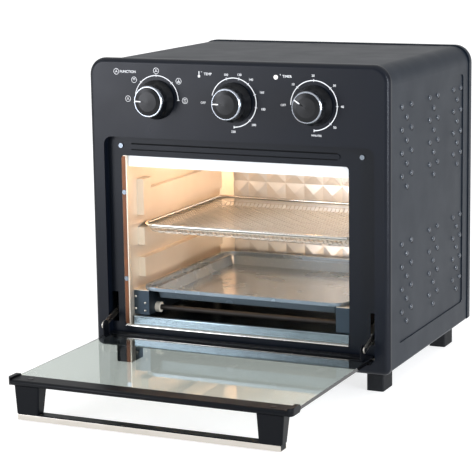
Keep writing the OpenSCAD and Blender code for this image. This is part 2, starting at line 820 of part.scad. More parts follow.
module door_bottom_rail() {
    thick = glass_t + 2 * skin;
    color("#242528") on_door() difference() {
        union() {
            translate([-door_hw, glass_y - skin, 0]) cube([2 * door_hw, thick, rail_top]);
            translate([0, glass_y + glass_t / 2, 0]) rod_x(thick / 2, 2 * door_hw);
            translate([-door_hw, glass_y - skin, door_bottom + 2])
                cube([2 * door_hw, thick - 1, -door_bottom - 1]);
            both_sides() arm_ear();
        }
        translate([-door_hw - 1, glass_y, 3]) cube([2 * door_hw + 2, glass_t, rail_top + 40]);
        for (s = [-1, 1]) translate([s * door_hw, 0, 0]) rod_x(pin_d / 2 + run_fit, 16);
        for (i = [-12:12]) translate([i * 11 - 3.5, glass_back - 0.5, rail_top / 2]) cube([7, 3, 1.6]);
    }
}

// Ear on the rail's end that carries the hinge arm's rivet
module arm_ear() {
    translate([ear_x - 2, glass_back - 0.01, 0]) cube([door_hw - ear_x + 2, skin, pivot_up + 6]);
    translate([ear_x - ear_t / 2, glass_back, pivot_up - 6]) cube([ear_t, pivot_in - glass_back, 12]);
    translate([ear_x, pivot_in, pivot_up]) rod_x(6, ear_t);
    translate([ear_x + 1.9, pivot_in, pivot_up]) rod_x(pin_d / 2, 5.4);
    translate([arm_x + arm_t / 2 + 0.55, pivot_in, pivot_up]) rod_x(2.6, 0.7);
}

module bracket_slice(w, d) {
    translate([-w / 2, 0, 0]) linear_extrude(0.2) round_rect(w, d, 2);
}

module handle_bracket(side) {
    root_y = glass_y - skin;
    mid_x = bracket_x - bracket_top_w / 2;
    color("#1f2023") on_door() translate([side * mid_x, root_y, bar_front - bracket_d]) difference() {
        rotate([90, 0, 0]) hull() {
            bracket_slice(bracket_top_w, bracket_d);
            translate([0, 4, bracket_h - 0.2]) bracket_slice(bracket_end_w, bracket_d - 4);
        }
        translate([0, 1, bracket_d - trim_h / 2 + 1.5]) rotate([180, 0, 0]) rod_y(screw_d / 2, screw_l);
    }
}

module handle_bracket_left() { handle_bracket(-1); }
module handle_bracket_right() { handle_bracket(1); }

// The bar lies under the brackets: a black core with a bright sleeve round three sides
module handle_core() {
    color("#17181a") on_door() translate([-bar_hw, bar_y - bar_t + sleeve_t, bar_front - bar_w + sleeve_t])
        cube([2 * bar_hw, bar_t - sleeve_t, bar_w - 2 * sleeve_t]);
}

module handle_sleeve() {
    color("#d5d7d8") on_door() translate([-bar_hw, bar_y - bar_t, bar_front - bar_w]) rotate([90, 0, 90])
        linear_extrude(2 * bar_hw) difference() {
            square([bar_t - 1, bar_w]);
            translate([sleeve_t, sleeve_t]) square([bar_t, bar_w - 2 * sleeve_t]);
        }
}

// ---------- Hinges ----------

module hinge_pins() {
    color("#b8babc") from_front() for (s = [-1, 1])
        translate([s * (recess_hw + 0.5), hinge_y, hinge_z]) rod_x(pin_d / 2, 17);
}

module hinge_arm(side) {
    color("#9a9c9e") from_front() translate([side * arm_x, arm_open_y, arm_open_z])
        rotate([arm_open_angle, 0, 0]) difference() {
            union() {
                translate([-arm_t / 2, 0, -arm_w / 2]) cube([arm_t, arm_l, arm_w]);
                rod_x(arm_w / 2, arm_t);
                translate([0, arm_l, 0]) rod_x(arm_w / 2, arm_t);
            }
            rod_x(pin_d / 2 + run_fit, arm_t + 2);
            translate([0, arm_l, 0]) rod_x(1.6, arm_t + 2);
        }
}

module hinge_arm_left() { hinge_arm(-1); }
module hinge_arm_right() { hinge_arm(1); }

// Points round the helix, then one closed tube through them
function coil_point(turns, h, a) = [spring_r * cos(a), spring_r * sin(a), h * a / (360 * turns)];
function ring(p, a, r, n) = [for (k = [0:n - 1]) let (b = 360 * k / n)
    p + r * cos(b) * [cos(a), sin(a), 0] + r * sin(b) * [0, 0, 1]];
module coil(turns, h, per_turn, n) {
    steps = turns * per_turn;
    points = [for (i = [0:steps]) let (a = 360 * i / per_turn)
        each ring(coil_point(turns, h, a), a, spring_wire, n)];
    sides = [for (i = [0:steps - 1], k = [0:n - 1]) [i * n + k, (i + 1) * n + k,
        (i + 1) * n + (k + 1) % n, i * n + (k + 1) % n]];
    polyhedron(points, concat(sides, [[for (k = [0:n - 1]) k]], [[for (k = [n - 1:-1:0]) steps * n + k]]));
}

module hinge_spring(side) {
    z0 = arm_end_z + 8;
    color("#b8babc") from_front() translate([side * arm_x, arm_end_y, z0])
        coil(12, anchor_z - z0 - 3, 12, 6);
}

module hinge_spring_left() { hinge_spring(-1); }
module hinge_spring_right() { hinge_spring(1); }

// ---------- Racks ----------

module on_rack(y, z) {
    from_front() translate([rack_cx, y, z]) children();
}

// The rim's front corners are bent round, its rear corners welded square
module basket_frame() {
    r = wire_d / 2;
    hw = basket_hw - r;
    bend = basket_r - r;
    color("#c9cbcc") on_rack(basket_y0, basket_z + slide_fit + mesh_t + r) {
        translate([0, r, 0]) rod_x(r, 2 * (hw - bend) + 0.02);
        translate([0, basket_d - r, 0]) rod_x(r, 2 * hw);
        for (x = [-hw, hw]) {
            translate([x, basket_d - r, 0]) sphere(r);
            translate([x, basket_r - 0.01, 0]) rod_y(r, basket_d - basket_r - r + 0.01);
        }
        for (s = [-1, 1]) translate([s * (hw - bend), basket_r, 0]) rotate([0, 0, s > 0 ? -90 : 180])
            rotate_extrude(angle = 90) translate([bend, 0]) circle(r);
    }
}

module pan(w, d, drop, slope) {
    translate([-w / 2, 0, 0]) cube([w, d, 0.1]);
    translate([-w / 2 + slope, slope, -drop]) cube([w - 2 * slope, d - 2 * slope, 0.1]);
}

module basket_mesh() {
    w = 2 * (rack_hw - guide_w - 1.5);
    inset = wire_d / 2 + 1;
    d = basket_d - 2 * inset;
    color("#aeb0b1") on_rack(basket_y0, basket_z + slide_fit) difference() {
        union() {
            linear_extrude(mesh_t) difference() {
                translate([-basket_hw, 0]) square([2 * basket_hw, basket_d]);
                for (s = [-1, 1]) translate([s * (basket_hw - basket_r), basket_r]) difference() {
                    translate([s > 0 ? 0 : -basket_r - 1, -basket_r - 1]) square(basket_r + 1);
                    circle(basket_r);
                }
            }
            translate([0, inset, 0]) hull() pan(w, d, mesh_drop, 6);
        }
        translate([0, inset + mesh_t, mesh_t]) hull() pan(w - 2 * mesh_t, d - 2 * mesh_t, mesh_drop, 6);
    }
}

module tray_plate(inset, z, t, slope) {
    translate([-tray_hw + inset, inset, z]) linear_extrude(t)
        round_rect(2 * (tray_hw - inset), tray_d - 2 * inset, tray_r - min(inset, tray_r - 2));
}

module baking_tray() {
    wall = 0.8;
    inner = tray_hw - (rack_hw - ledge_w) + 2;
    color("#9ba1a3") on_rack(tray_y0, tray_z + slide_fit) difference() {
        union() {
            tray_plate(0, 0, 4);
            hull() {
                tray_plate(inner, 0, 1);
                tray_plate(inner + 4, 4 - tray_h, 0.1);
            }
        }
        hull() {
            tray_plate(inner + wall, 0, 5);
            tray_plate(inner + 4 + wall, 4 - tray_h + wall, 0.1);
        }
        translate([0, 0, 1]) tray_plate(rim_w, 0, 5);
    }
}

module crumb_tray() {
    lip_h = 10;
    color("#8f979a") on_rack(crumb_y0, floor_z + slide_fit) {
        difference() {
            translate([-crumb_hw, 0, 0]) cube([2 * crumb_hw, cavity_y1 - crumb_y0 - 4, 7]);
            translate([-crumb_hw + sheet_t, 4, sheet_t])
                cube([2 * (crumb_hw - sheet_t), cavity_y1 - crumb_y0 - 8, 7]);
        }
        translate([-crumb_hw, 0, 6.99]) cube([2 * crumb_hw, 4, lip_h - 9]);
        translate([0, 2, lip_h - 1.5]) rod_x(2, 2 * crumb_hw);
    }
}

front_frame();
outer_shell();
rear_cover();
base_plate();
foot_front_left();
foot_front_right();
foot_rear_left();
foot_rear_right();
face_plate();
cavity_wall_left();
cavity_wall_right();
cavity_rear_wall();
cavity_ceiling();
cavity_floor();
fan_baffle();
upper_heaters();
lower_heaters();
heater_holders();
fan_motor();
motor_bracket();
motor_shaft();
convection_fan();
cooling_fan();
control_bracket();
function_switch();
thermostat();
timer_mechanism();
timer_bell();
function_shaft();
function_knob();
function_knob_ring();
temperature_shaft();
temperature_knob();
temperature_knob_ring();
timer_shaft();
timer_knob();
timer_knob_ring();
indicator_lens();
door_glass();
door_top_trim();
door_trim_caps();
door_bottom_rail();
handle_bracket_left();
handle_bracket_right();
handle_screws();
handle_core();
handle_sleeve();
hinge_pins();
hinge_arm_left();
hinge_arm_right();
hinge_spring_left();
hinge_spring_right();
basket_frame();
basket_mesh();
baking_tray();
crumb_tray();
face_plate_screws();
foot_screws();
cord_gland();
rear_spacers();
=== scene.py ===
"""Studio scene of a counter-top air fryer oven with three knobs and a drop-down glass door.

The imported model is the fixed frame. Every class here is one sub-assembly: it holds its sizes in
millimetres, builds the pieces that the frame leaves out and dresses the frame's own nodes.
Points are given from the front face, the middle of the case and the surface it stands on.
"""

from __future__ import annotations

import logging
from dataclasses import dataclass, field
from enum import Enum
from functools import cache
from math import cos, hypot, pi, radians, sin
from typing import Sequence, TypeVar

import bpy
from mathutils import Euler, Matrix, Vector


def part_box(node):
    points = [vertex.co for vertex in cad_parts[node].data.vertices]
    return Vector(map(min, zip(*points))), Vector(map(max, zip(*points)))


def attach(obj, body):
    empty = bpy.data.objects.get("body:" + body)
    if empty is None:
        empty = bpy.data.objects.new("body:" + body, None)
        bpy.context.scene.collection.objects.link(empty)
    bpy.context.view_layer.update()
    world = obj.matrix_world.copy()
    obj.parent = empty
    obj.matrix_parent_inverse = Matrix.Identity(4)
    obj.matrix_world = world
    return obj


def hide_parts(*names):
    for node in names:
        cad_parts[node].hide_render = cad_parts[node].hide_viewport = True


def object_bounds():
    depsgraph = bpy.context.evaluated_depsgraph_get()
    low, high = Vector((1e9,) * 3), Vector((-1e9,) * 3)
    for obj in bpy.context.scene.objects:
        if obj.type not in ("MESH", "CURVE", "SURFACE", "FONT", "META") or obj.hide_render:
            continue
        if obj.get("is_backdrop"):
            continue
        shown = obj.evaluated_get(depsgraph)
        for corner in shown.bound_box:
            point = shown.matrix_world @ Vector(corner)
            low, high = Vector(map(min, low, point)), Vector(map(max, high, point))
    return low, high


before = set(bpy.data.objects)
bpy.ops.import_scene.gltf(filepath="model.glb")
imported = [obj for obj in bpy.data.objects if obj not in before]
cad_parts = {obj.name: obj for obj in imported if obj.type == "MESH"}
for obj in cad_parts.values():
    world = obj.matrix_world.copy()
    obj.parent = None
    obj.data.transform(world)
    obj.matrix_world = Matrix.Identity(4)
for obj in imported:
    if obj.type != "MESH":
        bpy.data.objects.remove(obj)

CAD_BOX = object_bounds()
FRONT_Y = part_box("front_frame")[0].y
MM = 0.001
LOG = logging.getLogger("air_fryer")

Point = tuple[float, float, float]
Spot = tuple[float, float]
Face = tuple[int, ...]
Tree = bpy.types.NodeTree
Node = bpy.types.Node
Socket = bpy.types.NodeSocket
Material = bpy.types.Material
Inputs = dict[str | int, object]
Value = TypeVar("Value")

WHITE = (1.0, 1.0, 1.0, 1.0)
KNOBS = ("function", "temperature", "timer")
# Socket numbers of a Mix node that mixes colours.
MIX_FACTOR, MIX_A, MIX_B, MIX_RESULT = 0, 6, 7, 2


class Side(Enum):
    """A side of the appliance, as the sign of X."""

    LEFT = -1
    RIGHT = 1


class Symbol(Enum):
    """A cooking symbol: its heating bars' heights, and whether it has a fan or a wave."""

    FAN = ((), True)
    GRILL = ((1.5,), False)
    FAN_BAKE = ((-1.5,), True)
    BAKE = ((1.5, -1.5), False)


class Making(Enum):
    """How a surface was left by its making."""

    MOULDED = "fine spark-eroded grain"
    COATED = "soft orange peel"
    BRUSHED = "hair lines along X"
    ROLLED = "faint rolling lines along Y"
    FLECKED = "fired enamel with flecks"
    POLISHED = "almost smooth"


# ---------- Materials ----------


def linear(colour: str) -> tuple[float, float, float, float]:
    """Turns an sRGB hex colour into linear red, green, blue and alpha.

    Args:
        colour: Six hex digits after a hash.

    Returns:
        The four linear channels, with alpha at 1.
    """
    parts = (int(colour[i : i + 2], 16) / 255 for i in (1, 3, 5))
    rgb = [p / 12.92 if p <= 0.04045 else ((p + 0.055) / 1.055) ** 2.4 for p in parts]
    return (rgb[0], rgb[1], rgb[2], 1.0)


def add_node(tree: Tree, kind: str, inputs: Inputs | None = None, **settings: object) -> Node:
    """Adds one node with its settings, values and links.

    Args:
        tree: The node tree that takes the node.
        kind: The node's type name.
        inputs: Socket name or number, to a value or to the socket that feeds it.
        **settings: Attributes of the node itself.

    Returns:
        The new node.
    """
    node = tree.nodes.new(kind)
    for key, value in settings.items():
        setattr(node, key, value)
    for key, value in (inputs or {}).items():
        if isinstance(value, Socket):
            tree.links.new(value, node.inputs[key])
        else:
            node.inputs[key].default_value = value
    return node


def blank(name: str, constants: Inputs) -> Material:
    """Makes a material whose shader has its constants set.

    Args:
        name: Name of the material.
        constants: Socket name of the shader, to its value.

    Returns:
        The new material.
    """
    material = bpy.data.materials.new(name)
    material.use_nodes = True
    shader = material.node_tree.nodes["Principled BSDF"]
    for socket, value in constants.items():
        shader.inputs[socket].default_value = value
    return material


@dataclass(frozen=True)
class Finish:
    """An opaque surface: one material and the way it was made.

    Sizes of the patterns are in millimetres on the object.
    """

    name: str
    colour: str
    shade: str
    roughness: float
    making: Making
    metallic: float = 0.0
    ior: float = 1.5
    spread: float = 0.06
    mottle: float = 40.0
    grain: float = 0.6
    depth: float = 0.02
    coat: float = 0.0
    coat_roughness: float = 0.08
    least_roughness: float = 0.02
    fleck: str = "#000000"
    fleck_pitch: float = 2.4
    specular: float = 0.5
    glow: float = 0.0

    @cache
    def build(self) -> Material:
        """Makes the node material, once for each finish.

        Returns:
            The material, named after the finish.
        """
        constants = {
            "Metallic": self.metallic,
            "IOR": self.ior,
            "Coat Weight": self.coat,
            "Coat Roughness": self.coat_roughness,
            "Specular IOR Level": self.specular,
            "Emission Color": WHITE,
            "Emission Strength": self.glow,
        }
        material = blank(self.name, constants)
        material.diffuse_color = linear(self.colour)
        tree = material.node_tree
        shader = tree.nodes["Principled BSDF"]
        place = add_node(tree, "ShaderNodeTexCoord").outputs["Object"]
        soft = {"Vector": place, "Scale": 1 / (self.mottle * MM), "Detail": 3.0}
        cloud = add_node(tree, "ShaderNodeTexNoise", soft).outputs[0]
        tones = {MIX_FACTOR: cloud, MIX_A: linear(self.colour), MIX_B: linear(self.shade)}
        colour = add_node(tree, "ShaderNodeMix", tones, data_type="RGBA").outputs[MIX_RESULT]
        if self.making is Making.FLECKED:
            colour = self.flecks(tree, place, colour)
        tree.links.new(colour, shader.inputs["Base Color"])
        along = self.drawn_out(tree, place)
        fine = {"Vector": along, "Scale": 1 / (self.grain * MM), "Detail": 2.0}
        grain = add_node(tree, "ShaderNodeTexNoise", fine).outputs[0]
        wear = {
            "Value": grain if self.making in (Making.BRUSHED, Making.ROLLED) else cloud,
            "To Min": max(self.roughness - self.spread, self.least_roughness),
            "To Max": self.roughness + self.spread,
        }
        rough = add_node(tree, "ShaderNodeMapRange", wear).outputs["Result"]
        tree.links.new(rough, shader.inputs["Roughness"])
        relief = {"Height": grain, "Strength": 1.0, "Distance": self.depth * MM}
        bump = add_node(tree, "ShaderNodeBump", relief).outputs["Normal"]
        tree.links.new(bump, shader.inputs["Normal"])
        return material

    def flecks(self, tree: Tree, place: Socket, colour: Socket) -> Socket:
        """Scatters small flecks over a colour.

        Args:
            tree: The material's node tree.
            place: Coordinates in metres.
            colour: The colour under the flecks.

        Returns:
            The socket of the flecked colour.
        """
        # Real flecks are about 0.5 mm apart; they are drawn further apart so that they show.
        spots = {"Vector": place, "Scale": 1 / (self.fleck_pitch * MM)}
        away = add_node(tree, "ShaderNodeTexVoronoi", spots).outputs["Distance"]
        edge = {"Value": away, "From Min": 0.22, "From Max": 0.12}
        near = add_node(tree, "ShaderNodeMapRange", edge).outputs["Result"]
        tones = {MIX_FACTOR: near, MIX_A: colour, MIX_B: linear(self.fleck)}
        return add_node(tree, "ShaderNodeMix", tones, data_type="RGBA").outputs[MIX_RESULT]

    def drawn_out(self, tree: Tree, place: Socket) -> Socket:
        """Draws the coordinates out along the brushing or rolling direction.

        Args:
            tree: The material's node tree.
            place: Coordinates in metres.

        Returns:
            The socket of the coordinates that the grain uses.
        """
        stretches = {Making.BRUSHED: (0.02, 1.0, 1.0), Making.ROLLED: (1.0, 0.04, 1.0)}
        if self.making not in stretches:
            return place
        lines = {"Vector": place, "Scale": stretches[self.making]}
        return add_node(tree, "ShaderNodeMapping", lines).outputs[0]


@dataclass(frozen=True)
class ClearGlass:
    """A clear sheet that takes its tint from its thickness."""

    name: str
    tint: str
    density: float
    roughness: float = 0.01
    ior: float = 1.52
    smear: float = 60.0

    @cache
    def build(self) -> Material:
        """Makes the glass with an absorbing body and faint smears on its surface.

        Returns:
            The material, named after the finish.
        """
        constants = {"Base Color": WHITE, "Transmission Weight": 1.0, "IOR": self.ior}
        material = blank(self.name, constants)
        tree = material.node_tree
        place = add_node(tree, "ShaderNodeTexCoord").outputs["Object"]
        soft = {"Vector": place, "Scale": 1 / (self.smear * MM), "Detail": 4.0}
        wiped = {
            "Value": add_node(tree, "ShaderNodeTexNoise", soft).outputs[0],
            "To Min": self.roughness * 0.4,
            "To Max": self.roughness * 1.8,
        }
        rough = add_node(tree, "ShaderNodeMapRange", wiped).outputs["Result"]
        tree.links.new(rough, tree.nodes["Principled BSDF"].inputs["Roughness"])
        body = {"Color": linear(self.tint), "Density": self.density}
        glass = add_node(tree, "ShaderNodeVolumeAbsorption", body)
        tree.links.new(glass.outputs[0], tree.nodes["Material Output"].inputs["Volume"])
        return material


# Spark grain, hair lines and rolling lines are really about 0.1 mm apart. They are drawn 0.3 to
# 0.8 mm apart so that they show. Orange peel, clouds and smears are drawn at their real size.

# Moulded ABS, black with a fine spark grain: a soft, slightly blue sheen over deep grey.
MOULDED_ABS = Finish(
    "black_abs_moulded", "#0b111b", "#080c14", 0.30, Making.MOULDED, grain=0.5, depth=0.003,
    specular=0.20
)
# Polypropylene trim, smoother than the frame: long dull highlights along its edges.
TRIM_PP = Finish(
    "black_polypropylene_moulded", "#080b10", "#06080c", 0.36, Making.MOULDED, grain=0.8,
    depth=0.01, specular=0.11
)
# Powder coat on steel: charcoal, satin, with an orange peel that breaks up reflections.
POWDER_COAT = Finish(
    "charcoal_powder_coat", "#182029", "#131a23", 0.42, Making.COATED, grain=1.6, depth=0.03,
    specular=0.13
)
# The same coat on the louvres' raised domes, painted paler and shinier: a painted highlight.
DOME_HIGHLIGHT_COAT = Finish(
    "charcoal_powder_coat_painted_highlight", "#41464d", "#373c43", 0.24, Making.COATED, grain=1.6, depth=0.02,
    specular=0.5
)
# Baked lacquer on the plate round the oven's mouth: dark, satin, almost without peel.
BAKED_LACQUER = Finish(
    "black_baked_lacquer", "#0a1019", "#080d14", 0.34, Making.COATED, grain=1.2, depth=0.012,
    specular=0.19
)
# Aluminised steel liner: pale, half-matt, with faint rolling lines that smear reflections.
ALUMINISED = Finish(
    "aluminised_steel_rolled", "#e6ddcf", "#d9cdbb", 0.38, Making.ROLLED, metallic=0.75, grain=0.7,
    depth=0.006
)
# White vitreous enamel on the fan's cover: the brightest surface inside.
WHITE_ENAMEL = Finish(
    "white_vitreous_enamel", "#f4f6f7", "#e9edf0", 0.22, Making.COATED, grain=3.0, depth=0.01,
    coat=0.3
)
# Incoloy heating tube, oxidised by heat: dull brown-black.
OXIDISED_TUBE = Finish(
    "incoloy_tube_oxidised", "#3b3632", "#2a2725", 0.55, Making.POLISHED, metallic=0.7, mottle=12
)
# Unglazed steatite collars: chalky ivory.
STEATITE = Finish(
    "steatite_unglazed", "#ddd6c6", "#cfc6b2", 0.85, Making.MOULDED, mottle=6, grain=0.4
)
# Galvanised sheet of the hidden metalwork: grey, clouded with spangle.
GALVANISED = Finish(
    "galvanised_steel_sheet", "#9a9da0", "#85898d", 0.45, Making.POLISHED, metallic=0.9, mottle=9
)
# Zinc-plated steel of screws, pins, arms and springs: small, bright and slightly warm.
ZINC_PLATE = Finish(
    "zinc_plated_steel", "#c9c6bf", "#aaa69d", 0.28, Making.POLISHED, metallic=1.0, mottle=5
)
# Nickel-plated steel of the plate's screws: cooler and duller than zinc.
NICKEL_PLATE = Finish(
    "nickel_plated_steel", "#7d858d", "#666e76", 0.26, Making.POLISHED, metallic=1.0, mottle=3
)
# Blackened steel of the handle's screws: dull black, lit only along each head's rim.
BLACKENED = Finish(
    "blackened_steel", "#26272a", "#1d1e20", 0.4, Making.POLISHED, metallic=0.6, mottle=4
)
# Chrome-plated ABS of the knobs' rings: a soft mirror with a hint of blue.
CHROME_RING = Finish(
    "chrome_plated_abs", "#9a9fa6", "#8c9198", 0.20, Making.POLISHED, metallic=1.0, spread=0.04,
    depth=0.002
)
# Chrome-plated wire of the basket's rim: thin sharp streaks of light.
CHROME_WIRE = Finish(
    "chrome_plated_wire", "#d9d8d4", "#c4c2bd", 0.14, Making.POLISHED, metallic=1.0, spread=0.04,
    depth=0.003
)
# Woven stainless wire: bright knuckles, dull where drawn.
WOVEN_WIRE = Finish(
    "stainless_wire_woven", "#c9c5bc", "#a9a398", 0.34, Making.POLISHED, metallic=1.0, mottle=3
)
# Stainless sleeve, brushed lengthways: long soft highlight along the handle.
BRUSHED_STAINLESS = Finish(
    "stainless_steel_brushed", "#cdc8c0", "#bab4aa", 0.30, Making.BRUSHED, metallic=1.0, grain=0.35,
    depth=0.004
)
# Carbon steel of the baking tray under a thin blue-grey enamel with pale flecks fired into it.
TRAY_ENAMEL = Finish(
    "grey_enamel_flecked", "#7d8b95", "#6c7983", 0.26, Making.FLECKED, metallic=0.55, coat=0.4,
    fleck="#9aa5ad", grain=2.5, depth=0.01
)
# Rolled tinplate of the crumb tray: cold grey with rolling lines.
TINPLATE = Finish(
    "tinplate_rolled", "#87949b", "#6f7d85", 0.24, Making.ROLLED, metallic=1.0, grain=0.8,
    depth=0.005
)
# Gloss black ABS of the knobs: deep, with a sharp highlight on the domed face.
KNOB_ABS = Finish(
    "black_abs_gloss", "#07090d", "#05070a", 0.30, Making.MOULDED, grain=0.7, depth=0.004,
    specular=0.28
)
# Screen ink: opaque white, very slightly uneven.
SCREEN_INK = Finish(
    "white_screen_ink", "#f2f3f4", "#e3e5e8", 0.5, Making.MOULDED, mottle=4, grain=0.3, depth=0.01
)
# Moulded rubber of the feet and the cord's gland: matt, almost no highlight.
RUBBER = Finish(
    "black_rubber_moulded", "#111317", "#0e1013", 0.7, Making.MOULDED, mottle=8, grain=0.5,
    specular=0.25
)
# Pressed aluminium of the fan: light grey with faint rolling lines.
PRESSED_ALUMINIUM = Finish(
    "aluminium_pressed", "#c3c5c6", "#b0b2b4", 0.35, Making.ROLLED, metallic=1.0
)
# Moulded polyamide of the switches: warm ivory, dull.
POLYAMIDE = Finish("polyamide_moulded", "#cfc8b8", "#c2baa8", 0.55, Making.MOULDED)
# Steel over the lower ledges: dark slate as painted shade, bluish as a painted reflection.
LEDGE_SHADE_STEEL = Finish(
    "ledge_steel_painted_shade", "#3a4650", "#2e3841", 0.34, Making.ROLLED, metallic=0.8, grain=0.8,
    depth=0.006
)
# Flange left of the opening: brown painted shade, straw clouds of painted reflection, half-matt.
FLANGE_SHADE_STEEL = Finish(
    "flange_steel_painted_shade", "#7c4a2b", "#4c3426", 0.42, Making.ROLLED, metallic=0.6, mottle=14
)
# Rear liner panel: the same aluminised sheet, paler and cooler where it is embossed.
EMBOSSED_SHEET = Finish(
    "aluminised_steel_embossed", "#d3d4d2", "#c2c4c4", 0.34, Making.ROLLED, metallic=0.7, grain=0.7,
    depth=0.006
)
# Dead-matt black: painted shade in louvre mouths, screw recesses and behind the frame; the strip
# above the baffle.
DEAD_BLACK_AND_SHADE = Finish("dead_black_and_painted_shade", "#07080a", "#040506", 0.9, Making.MOULDED)
# Tempered float glass: clear face on, green where the light runs along it.
TEMPERED_GLASS = ClearGlass("tempered_float_glass", "#c0cdc4", 205.0)
# Opal polycarbonate lens over the pilot lamp: milky, soft highlight.
PILOT_LENS = Finish(
    "opal_polycarbonate_lens", "#f1efec", "#e2ded8", 0.18, Making.POLISHED, mottle=3, coat=0.3
)

# Matt paper of the studio's floor: even white, with a soft shadow under the case.
STUDIO_PAPER = Finish(
    "studio_paper", "#b4b4b4", "#b0b0b0", 0.9, Making.MOULDED, depth=0.001, specular=0.1, glow=0.72
)


def by_node(table: dict[Value, str]) -> dict[str, Value]:
    """Turns a table of node names by finish or size into one of finish or size by node."""
    return {node: value for value, nodes in table.items() for node in nodes.split()}


# The nodes of the frame that each finish dresses.
DRESSED_IN = {
    MOULDED_ABS: "front_frame",
    POWDER_COAT: "outer_shell rear_cover",
    GALVANISED: "base_plate fan_motor motor_bracket control_bracket thermostat",
    RUBBER: "foot_front_left foot_front_right foot_rear_left foot_rear_right cord_gland",
    ZINC_PLATE: (
        "foot_screws motor_shaft timer_bell function_shaft temperature_shaft timer_shaft "
        "hinge_pins hinge_arm_left hinge_arm_right hinge_spring_left hinge_spring_right"
    ),
    TRIM_PP: (
        "rear_spacers door_top_trim door_trim_caps door_bottom_rail handle_bracket_left "
        "handle_bracket_right handle_core"
    ),
    BAKED_LACQUER: "face_plate",
    NICKEL_PLATE: "face_plate_screws",
    ALUMINISED: "cavity_wall_left cavity_wall_right cavity_rear_wall cavity_ceiling cavity_floor",
    WHITE_ENAMEL: "fan_baffle",
    OXIDISED_TUBE: "upper_heaters lower_heaters",
    STEATITE: "heater_holders",
    PRESSED_ALUMINIUM: "convection_fan",
    POLYAMIDE: "cooling_fan function_switch timer_mechanism",
    KNOB_ABS: "function_knob temperature_knob timer_knob",
    CHROME_RING: "function_knob_ring temperature_knob_ring timer_knob_ring",
    PILOT_LENS: "indicator_lens",
    TEMPERED_GLASS: "door_glass",
    BLACKENED: "handle_screws",
    BRUSHED_STAINLESS: "handle_sleeve",
    CHROME_WIRE: "basket_frame",
    WOVEN_WIRE: "basket_mesh",
    TRAY_ENAMEL: "baking_tray",
    TINPLATE: "crumb_tray",
}
DRESS = by_node(DRESSED_IN)

# Radius in millimetres by which the sharp edges of these nodes are eased.
EASED_BY = {
    0.25: "handle_sleeve",
    0.3: "rear_cover door_bottom_rail hinge_arm_left hinge_arm_right",
    0.35: "face_plate",
    0.4: "door_top_trim crumb_tray",
    0.5: "door_trim_caps handle_core cavity_wall_left baking_tray",
    0.9: "foot_front_left foot_front_right foot_rear_left foot_rear_right",
}
EASED = by_node(EASED_BY)
WELD_GAP = 0.01
EASED_ANGLE = radians(40)
SHARP_ANGLE = radians(35)


# ---------- Meshes ----------


def bands(rows: int, around: int) -> list[Face]:
    """Joins rings of corners, one after the other, with four-sided faces.

    Args:
        rows: Number of bands, one less than the number of rings.
        around: Corners in each ring.

    Returns:
        The faces, band by band.
    """
    faces = []
    for low in range(0, rows * around, around):
        high = low + around
        for k in range(around):
            after = (k + 1) % around
            faces.append((low + k, low + after, high + after, high + k))
    return faces


def sideways(line: Sequence[Spot]) -> list[Spot]:
    """Finds the unit vector across an open line at each of its points.

    Args:
        line: X and Z of its points.

    Returns:
        X and Z of each unit vector.
    """
    across = []
    for i in range(len(line)):
        x0, z0 = line[max(i - 1, 0)]
        x1, z1 = line[min(i + 1, len(line) - 1)]
        length = hypot(x1 - x0, z1 - z0)
        across.append(((z1 - z0) / length, -(x1 - x0) / length))
    return across


def put(name: str, data: bpy.types.ID) -> bpy.types.Object:
    """Puts a new object into the scene.

    Args:
        name: Name of the object.
        data: Its mesh, lamp, camera or text.

    Returns:
        The new object.
    """
    made = bpy.data.objects.new(name, data)
    bpy.context.scene.collection.objects.link(made)
    return made


